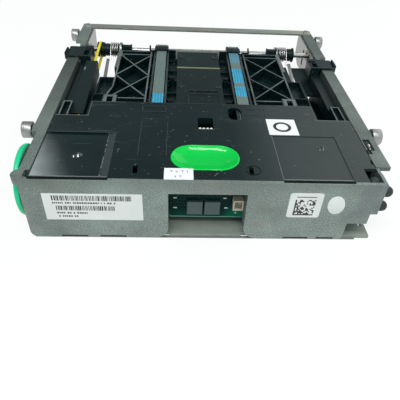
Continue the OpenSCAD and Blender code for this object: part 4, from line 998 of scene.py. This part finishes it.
class CARRIAGE_OT_wheel(CarriageOperator, bpy.types.Operator):
    """Hand wheel with a rounded rim, a sunk web and a hub"""
    bl_idname = "carriage.wheel"
    bl_label = "Hand Wheel"

    def execute(self, context):
        low, high = box_mm("hand_wheel")
        depth, z = (low.y + high.y) / 2 - FRONT_Y / MM, (low.z + high.z) / 2
        radius = (high.z - low.z) / 2
        # The hub stands out of the rim's inner side, and the bore has a little play on the shaft
        hub, play = 1.5, 0.02
        left, right = low.x, high.x - hub
        shaft_low, shaft_high = box_mm("wheel_shaft")
        bore = (shaft_high.z - shaft_low.z) / 2 + play
        profile = [(left, bore), (left, 7.5), (left + 1.2, 8.2), (left + 1.2, radius - 4.2),
                   (left + 0.4, radius - 3.4), (left, radius - 1.2), (left + 0.3, radius - 0.4),
                   (left + 1.0, radius), (right - 1.0, radius), (right - 0.3, radius - 0.4),
                   (right, radius - 1.2), (right - 0.3, radius - 3.0), (right - 1.2, radius - 3.6),
                   (right - 1.2, 8.4), (right - 0.6, 7.9), (right + 1.2, 7.7), (right + hub, 7.3),
                   (right + hub, bore)]
        bm = bmesh.new()
        turned(bm, profile, depth, z, steps=120)
        wheel = piece("wheel_body", bm, "wheel_train", "wheel_gloss", sharp=30)
        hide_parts("hand_wheel")
        return {"FINISHED"}


class CARRIAGE_OT_belts(CarriageOperator, bpy.types.Operator):
    """Flat belts round their pulleys, with printed blue bands"""
    bl_idname = "carriage.belts"
    bl_label = "Belts"

    def execute(self, context):
        rear_axis = Vector((0, SHAFT_Y, SHAFT_Z * MM))
        front_axis = Vector((0, *joint_place("front_pulley_turn")[1:]))
        run, thick, steps = rear_axis - front_axis, 0.8 * MM, 36
        for side in ("left", "right"):
            low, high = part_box(side + "_belt")
            rear_r, front_r = high[1] - rear_axis.y, front_axis.y - low[1]
            lean = math.asin((rear_r - front_r) / run.length)
            # Outward direction of the upper run, and how far the belt goes round the rear pulley
            turn = math.atan2(run.z, run.y) + math.pi / 2 + lean
            out, arc = Vector((0, math.cos(turn), math.sin(turn))), math.pi + 2 * lean
            corners = ((low[0], rear_r), (high[0], rear_r), (high[0], rear_r - thick),
                       (low[0], rear_r - thick))
            bm = bmesh.new()
            ring = joined(bm, [Vector((x, *rear_axis.yz)) + out * r for x, r in corners], closed=True)
            last = spun(bm, ring, rear_axis, (1, 0, 0), -arc, steps)
            below = Matrix.Rotation(-arc, 3, "X") @ out
            last = draw_out(bm, last, below * (front_r - rear_r) - run)
            last = spun(bm, last, front_axis, (1, 0, 0), arc - math.tau, steps)
            draw_out(bm, last, out * (rear_r - front_r) + run)
            bmesh.ops.remove_doubles(bm, verts=bm.verts[:], dist=20 * MERGE)
            belt = piece(side + "_belt_loop", bm, "upper_guide", side + "_belt_rubber")
            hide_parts(side + "_belt")
        return {"FINISHED"}


class CARRIAGE_OT_springs(CarriageOperator, bpy.types.Operator):
    """Wound torsion springs on the drive shaft's sleeves"""
    bl_idname = "carriage.springs"
    bl_label = "Torsion Springs"

    def execute(self, context):
        # Radius of the coil and of the wire, length of the legs, and turns from the first leg's place
        radius, wire, leg, turns = 7.6, 0.6, 16.0, 29 / 8
        begin, count = math.radians(135), round(turns * 24)
        end = begin - math.tau * turns
        for side in ("left", "right"):
            low, high = box_mm(side + "_torsion_spring")
            first, last = (low.x + wire, high.x - wire) if side == "left" else (high.x - wire, low.x + wire)
            points = []
            for step in range(count + 1):
                angle = begin + (end - begin) * step / count
                points.append(at(first + (last - first) * step / count,
                                 SHAFT_D + radius * math.cos(angle), SHAFT_Z + radius * math.sin(angle)))
            points.insert(0, points[0] + Vector((0, -math.sin(begin), math.cos(begin))) * leg * MM)
            points.append(points[-1] + Vector((0, math.sin(end), -math.cos(end))) * leg * MM)
            spring = tube(side + "_spring_wire", points, wire, "frame", "turned_steel", False)
            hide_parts(side + "_torsion_spring")
        return {"FINISHED"}


class CARRIAGE_OT_cord(CarriageOperator, bpy.types.Operator):
    """Round yellow drive cord, endless round its two pulleys"""
    bl_idname = "carriage.cord"
    bl_label = "Drive Cord"

    def execute(self, context):
        low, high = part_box("drive_cord")
        x, thick = (low[0] + high[0]) / 2, (high[0] - low[0]) / 2
        front, rear = Vector((x, *joint_place("lay_turn")[1:])), Vector((x, SHAFT_Y, SHAFT_Z * MM))
        reach = front.y - low[1] - thick
        tilt = math.atan2(rear.z - front.z, rear.y - front.y)
        points = []
        for centre, begin in ((front, math.pi / 2), (rear, -math.pi / 2)):
            for step in range(25):
                angle = tilt + begin + math.pi * step / 24
                points.append(centre + Vector((0, math.cos(angle), math.sin(angle))) * reach)
        cord = tube("drive_cord_loop", points, thick / MM, "frame", "cord_skin", True)
        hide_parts("drive_cord")
        return {"FINISHED"}


class CARRIAGE_OT_rear_parts(CarriageOperator, bpy.types.Operator):
    """Belt caps, hooks and blocks at the rear edge, and rings on the sleeves"""
    bl_idname = "carriage.rear_parts"
    bl_label = "Rear Parts"

    def execute(self, context):
        bm = bmesh.new()
        for side in ("left", "right"):
            low, high = box_mm(side + "_belt")
            x = (low.x - 2.3, high.x + 2.3)
            block(bm, x, (230.5, 240.5), (56.1, 57.4), 0.5)
            for wall in ((x[0], x[0] + 1.6), (x[1] - 1.6, x[1])):
                block(bm, wall, (230.5, 236), (50, 57.2), 0.4)
        piece("belt_caps", bm, "upper_guide", "block_plastic")
        bm = bmesh.new()
        for x, lean in ((-55, 1), (54.5, -1)):
            near = x + 8 * lean
            block(bm, (min(x, near), max(x, near)), (233.4, 236), (50, 54.6), 0.4)
            block(bm, (x - 0.9, x + 0.9), (234.5, 241), (53.6, 56), 0.5)
            block(bm, (x - 0.9, x + 0.9), (239.6, 241.4), (54.6, 57.4), 0.5)
        for gap in ((-52.35, -50.05), (45.25, 47.55)):
            block(bm, gap, (234.1, 236), (42.3, 51), 0.2)
        piece("edge_hooks", bm, "upper_guide", "block_plastic")
        bm = bmesh.new()
        for x in ((-86.2, -74.8), (74.4, 86.0)):
            block(bm, x, (233.8, 239.5), (49, 58), 0.4)
            for fin in ((x[0], x[0] + 1.2), (x[1] - 1.2, x[1])):
                block(bm, fin, (233.8, 238), (57, 59.4), 0.3)
        piece("edge_blocks", bm, "upper_guide", "block_plastic")
        bm = bmesh.new()
        # Where the rings begin on the two sleeves, and the (X, radius) section of a ring
        starts = box_mm("cord_pulley")[1].x - 16.3, box_mm("shaft_sleeve")[1].x - 6.4
        section = (0.0, 6.2), (0.0, 6.8), (0.2, 7.0), (0.8, 7.0), (1.0, 6.8), (1.0, 6.2)
        for start in starts:
            for step in range(3):
                turned(bm, [(start + 2.0 * step + x, r) for x, r in section], SHAFT_D, SHAFT_Z)
        piece("sleeve_rings", bm, "drive_line", "block_plastic")
        return {"FINISHED"}


class CARRIAGE_OT_notch_parts(CarriageOperator, bpy.types.Operator):
    """Dome in the beam's corner, catch in the rail's notch with painted glints, lens rim in the cover, and
    lines and painted highlights on the plate
    """
    bl_idname = "carriage.notch_parts"
    bl_label = "Notch Parts"

    def execute(self, context):
        bm = bmesh.new()
        dome = [(0.0, 30.5), (4.3, 30.5), (4.3, 51.5), (3.9, 53.4), (2.9, 54.8), (1.5, 55.6), (0.0, 55.9)]
        upright(bm, dome, 122.8, 8.6)
        piece("corner_dome", bm, "frame", "soft_rubber")
        bm = bmesh.new()
        floor = 54.15
        block(bm, (128.9, 134.1), (44.3, 59.7), (floor, floor + 1.2), 0.3)
        block(bm, (128.0, 130.6), (39.4, 44.8), (floor, floor + 1.0), 0.3)
        block(bm, (129.2, 130.4), (46, 58), (floor + 1.1, floor + 1.7), 0.2)
        piece("rail_catch", bm, "frame", "trough_plastic")
        bm = bmesh.new()
        # Pale spots on the black catch, painted glints
        for x, depth, radius in ((132.4, 52.7, 0.9), (132.0, 50.4, 0.6), (131.4, 47.0, 0.5)):
            spot = [(0.0, floor + 1.1), (radius, floor + 1.1), (radius, floor + 1.4), (0.0, floor + 1.5)]
            upright(bm, spot, x, depth, steps=20)
        piece("catch_glints", bm, "frame", "pale_nylon")
        bm = bmesh.new()
        x, depth, begin = 26.8, 92.8, math.radians(200)
        section = [at(x + r * math.cos(begin), depth + r * math.sin(begin), z)
                   for r, z in ((4.6, 53.6), (4.6, 54.5), (5.85, 54.9), (5.85, 53.6))]
        spun(bm, joined(bm, section, closed=True), at(x, depth, 0), (0, 0, 1), math.radians(140), 24)
        bmesh.ops.holes_fill(bm, edges=bm.edges[:], sides=4)
        piece("lens_rim", bm, "upper_guide", "pale_nylon")
        bm = bmesh.new()
        # The plate's studs rise above its top face
        stud_rise = 0.7
        low, high = box_mm("centre_plate")
        top, middle = high.z - stud_rise, (low.x + high.x) / 2
        z = (top - 0.05, top + 0.15)
        for depth in (138.8, 144.7):
            block(bm, (-12.8, 14.8), (depth, depth + 0.5), z)
        # Pale tick on the recess's left edge, a painted highlight
        block(bm, (-13.7, -13.3), (119, 136), z)
        # Pale rings round the studs, painted highlights
        for x in (middle - 18.2, middle + 18.2):
            for depth in (SHAFT_D - 95, SHAFT_D - 25):
                upright(bm, [(1.9, top + 0.65), (1.9, top + 0.85), (2.4, top + 0.85), (2.6, top + 0.6),
                             (2.6, top - 0.05)], x, depth, steps=24)
        piece("plate_lines_and_highlights", bm, "upper_guide", "worn_and_highlight_edge")
        return {"FINISHED"}


class CARRIAGE_OT_stage(CarriageOperator, bpy.types.Operator):
    """Camera, pale floor, lamps and world"""
    bl_idname = "carriage.stage"
    bl_label = "Stage"

    def execute(self, context):
        stage, scene = settings("stage"), context.scene
        scene.view_settings.view_transform = "Standard"
        self.camera(stage, scene)
        bm = bmesh.new()
        bmesh.ops.create_grid(bm, x_segments=1, y_segments=1, size=6.0)
        mesh = bpy.data.meshes.new("floor")
        bm.to_mesh(mesh)
        bm.free()
        floor = in_scene("floor", mesh)
        floor.data.materials.append(self.floor_material(stage))
        self.lamp("key_lamp", (-0.25, -0.7, 1.5), (1.3, 0.2), stage.key_power)
        self.lamp("rear_lamp", (1.1, 1.0, 0.95), (1.3, 1.3), stage.rim_power)
        self.lamp("sheen_lamp", (-0.56, 0.94, 0.88), (0.2, 0.3), stage.sheen_power)
        self.world(scene)
        return {"FINISHED"}

    @staticmethod
    def camera(stage, scene):
        data = bpy.data.cameras.new("photo_camera")
        data.lens = stage.camera_lens
        data.sensor_width = 36.0
        data.clip_start = 0.01
        camera = in_scene("photo_camera", data)
        yaw, pitch, roll = stage.camera_yaw, stage.camera_pitch, stage.camera_roll
        ahead = Vector((math.sin(yaw) * math.cos(pitch), math.cos(yaw) * math.cos(pitch), -math.sin(pitch)))
        level = Vector((math.cos(yaw), -math.sin(yaw), 0))
        upward = level.cross(ahead)
        right = math.cos(roll) * level + math.sin(roll) * upward
        top = math.cos(roll) * upward - math.sin(roll) * level
        matrix = Matrix((right, top, -ahead)).transposed().to_4x4()
        matrix.translation = stage.camera_place
        camera.matrix_world = matrix
        scene.camera = camera

    @staticmethod
    def lamp(name, place, size, power):
        data = bpy.data.lights.new(name, "AREA")
        data.shape = "RECTANGLE"
        data.size, data.size_y = size
        data.energy = power
        lamp = in_scene(name, data)
        place = Vector(place)
        lamp.matrix_world = Matrix.Translation(place) @ (-place).to_track_quat("-Z", "Y").to_matrix().to_4x4()

    @staticmethod
    def floor_material(stage):
        """Pale floor that reads white to the camera and in reflections, and keeps the shadow; along the
        beam's front foot its colour is darkened to a painted shadow.
        """
        material, tree = blank_material("pale_floor", 0.6)
        shader = tree.nodes["Principled BSDF"]
        # Along the beam's front foot the floor is painted dark as a shadow, and no longer glows white
        contact_shadow = area(tree, (-131, 120), (0.1, 3.0))
        tree.links.new(mix_colour(tree, contact_shadow, stage.floor_colour, (0.2, 0.2, 0.2)),
                       shader.inputs["Base Color"])
        glow = add_node(tree, "ShaderNodeEmission", {"Color": (1.0, 1.0, 1.0, 1.0), "Strength": 1.05})
        share = times(tree, seen_share(tree, 1.0), ranged(tree, contact_shadow, 0.0, 1.0, FLOOR_GLOW, 0.0))
        mixed = add_node(tree, "ShaderNodeMixShader", {0: share, 1: shader.outputs[0], 2: glow.outputs[0]})
        tree.links.new(mixed.outputs[0], tree.nodes["Material Output"].inputs["Surface"])
        return material

    @staticmethod
    def world(scene):
        """Soft room light, brighter from above, the front and the right, seen as a white room."""
        world = bpy.data.worlds.new("soft_room")
        scene.world = world
        world.use_nodes = True
        tree = world.node_tree
        way = separate(tree, add_node(tree, "ShaderNodeTexCoord").outputs["Generated"])
        level = 0.06
        for axis, low, high, strength in ((2, 0.4, 0.72, 0.3), (1, 0.2, -0.7, 0.42), (0, -0.05, 0.75, 0.32)):
            share = ranged(tree, way[axis], low, high, 0.0, strength)
            level = plus(tree, level, share)
        seen = seen_share(tree, GLOSSY_SHARE)
        room = tree.nodes["Background"].inputs
        tree.links.new(ranged(tree, seen, 0.0, 1.0, level, 1.0), room["Strength"])
        tree.links.new(mix_colour(tree, seen, (0.88, 1.0, 1.0), (1.0, 1.0, 1.0)), room["Color"])


OPERATORS = (CARRIAGE_OT_frame, CARRIAGE_OT_guides, CARRIAGE_OT_drive, CARRIAGE_OT_front_labels,
             CARRIAGE_OT_board_parts, CARRIAGE_OT_cover_marks, CARRIAGE_OT_cover_papers,
             CARRIAGE_OT_finger_dish, CARRIAGE_OT_wheel, CARRIAGE_OT_belts, CARRIAGE_OT_springs,
             CARRIAGE_OT_cord, CARRIAGE_OT_rear_parts, CARRIAGE_OT_notch_parts, CARRIAGE_OT_stage)
GROUPS = {"colours": CarriageColours, "sizes": CarriageSizes, "stage": CarriageStage}


class CARRIAGE_PT_panel(bpy.types.Panel):
    bl_idname = "CARRIAGE_PT_panel"
    bl_label = "Transport Carriage"
    bl_space_type = "VIEW_3D"
    bl_region_type = "UI"
    bl_category = "Carriage"

    def draw(self, context):
        for name, group in GROUPS.items():
            box = self.layout.box()
            for key in group.__annotations__:
                box.prop(settings(name), key)
        for operator in OPERATORS:
            self.layout.operator(operator.bl_idname)


def register():
    for kind in (*GROUPS.values(), *OPERATORS, CARRIAGE_PT_panel):
        bpy.utils.register_class(kind)
    for name, group in GROUPS.items():
        setattr(bpy.types.Scene, "carriage_" + name, PointerProperty(type=group))


def unregister():
    for name in GROUPS:
        delattr(bpy.types.Scene, "carriage_" + name)
    for kind in reversed((*GROUPS.values(), *OPERATORS, CARRIAGE_PT_panel)):
        bpy.utils.unregister_class(kind)


def main():
    register()
    for operator in OPERATORS:
        getattr(bpy.ops.carriage, operator.bl_idname.split(".")[1])()


if __name__ == "__main__":
    main()
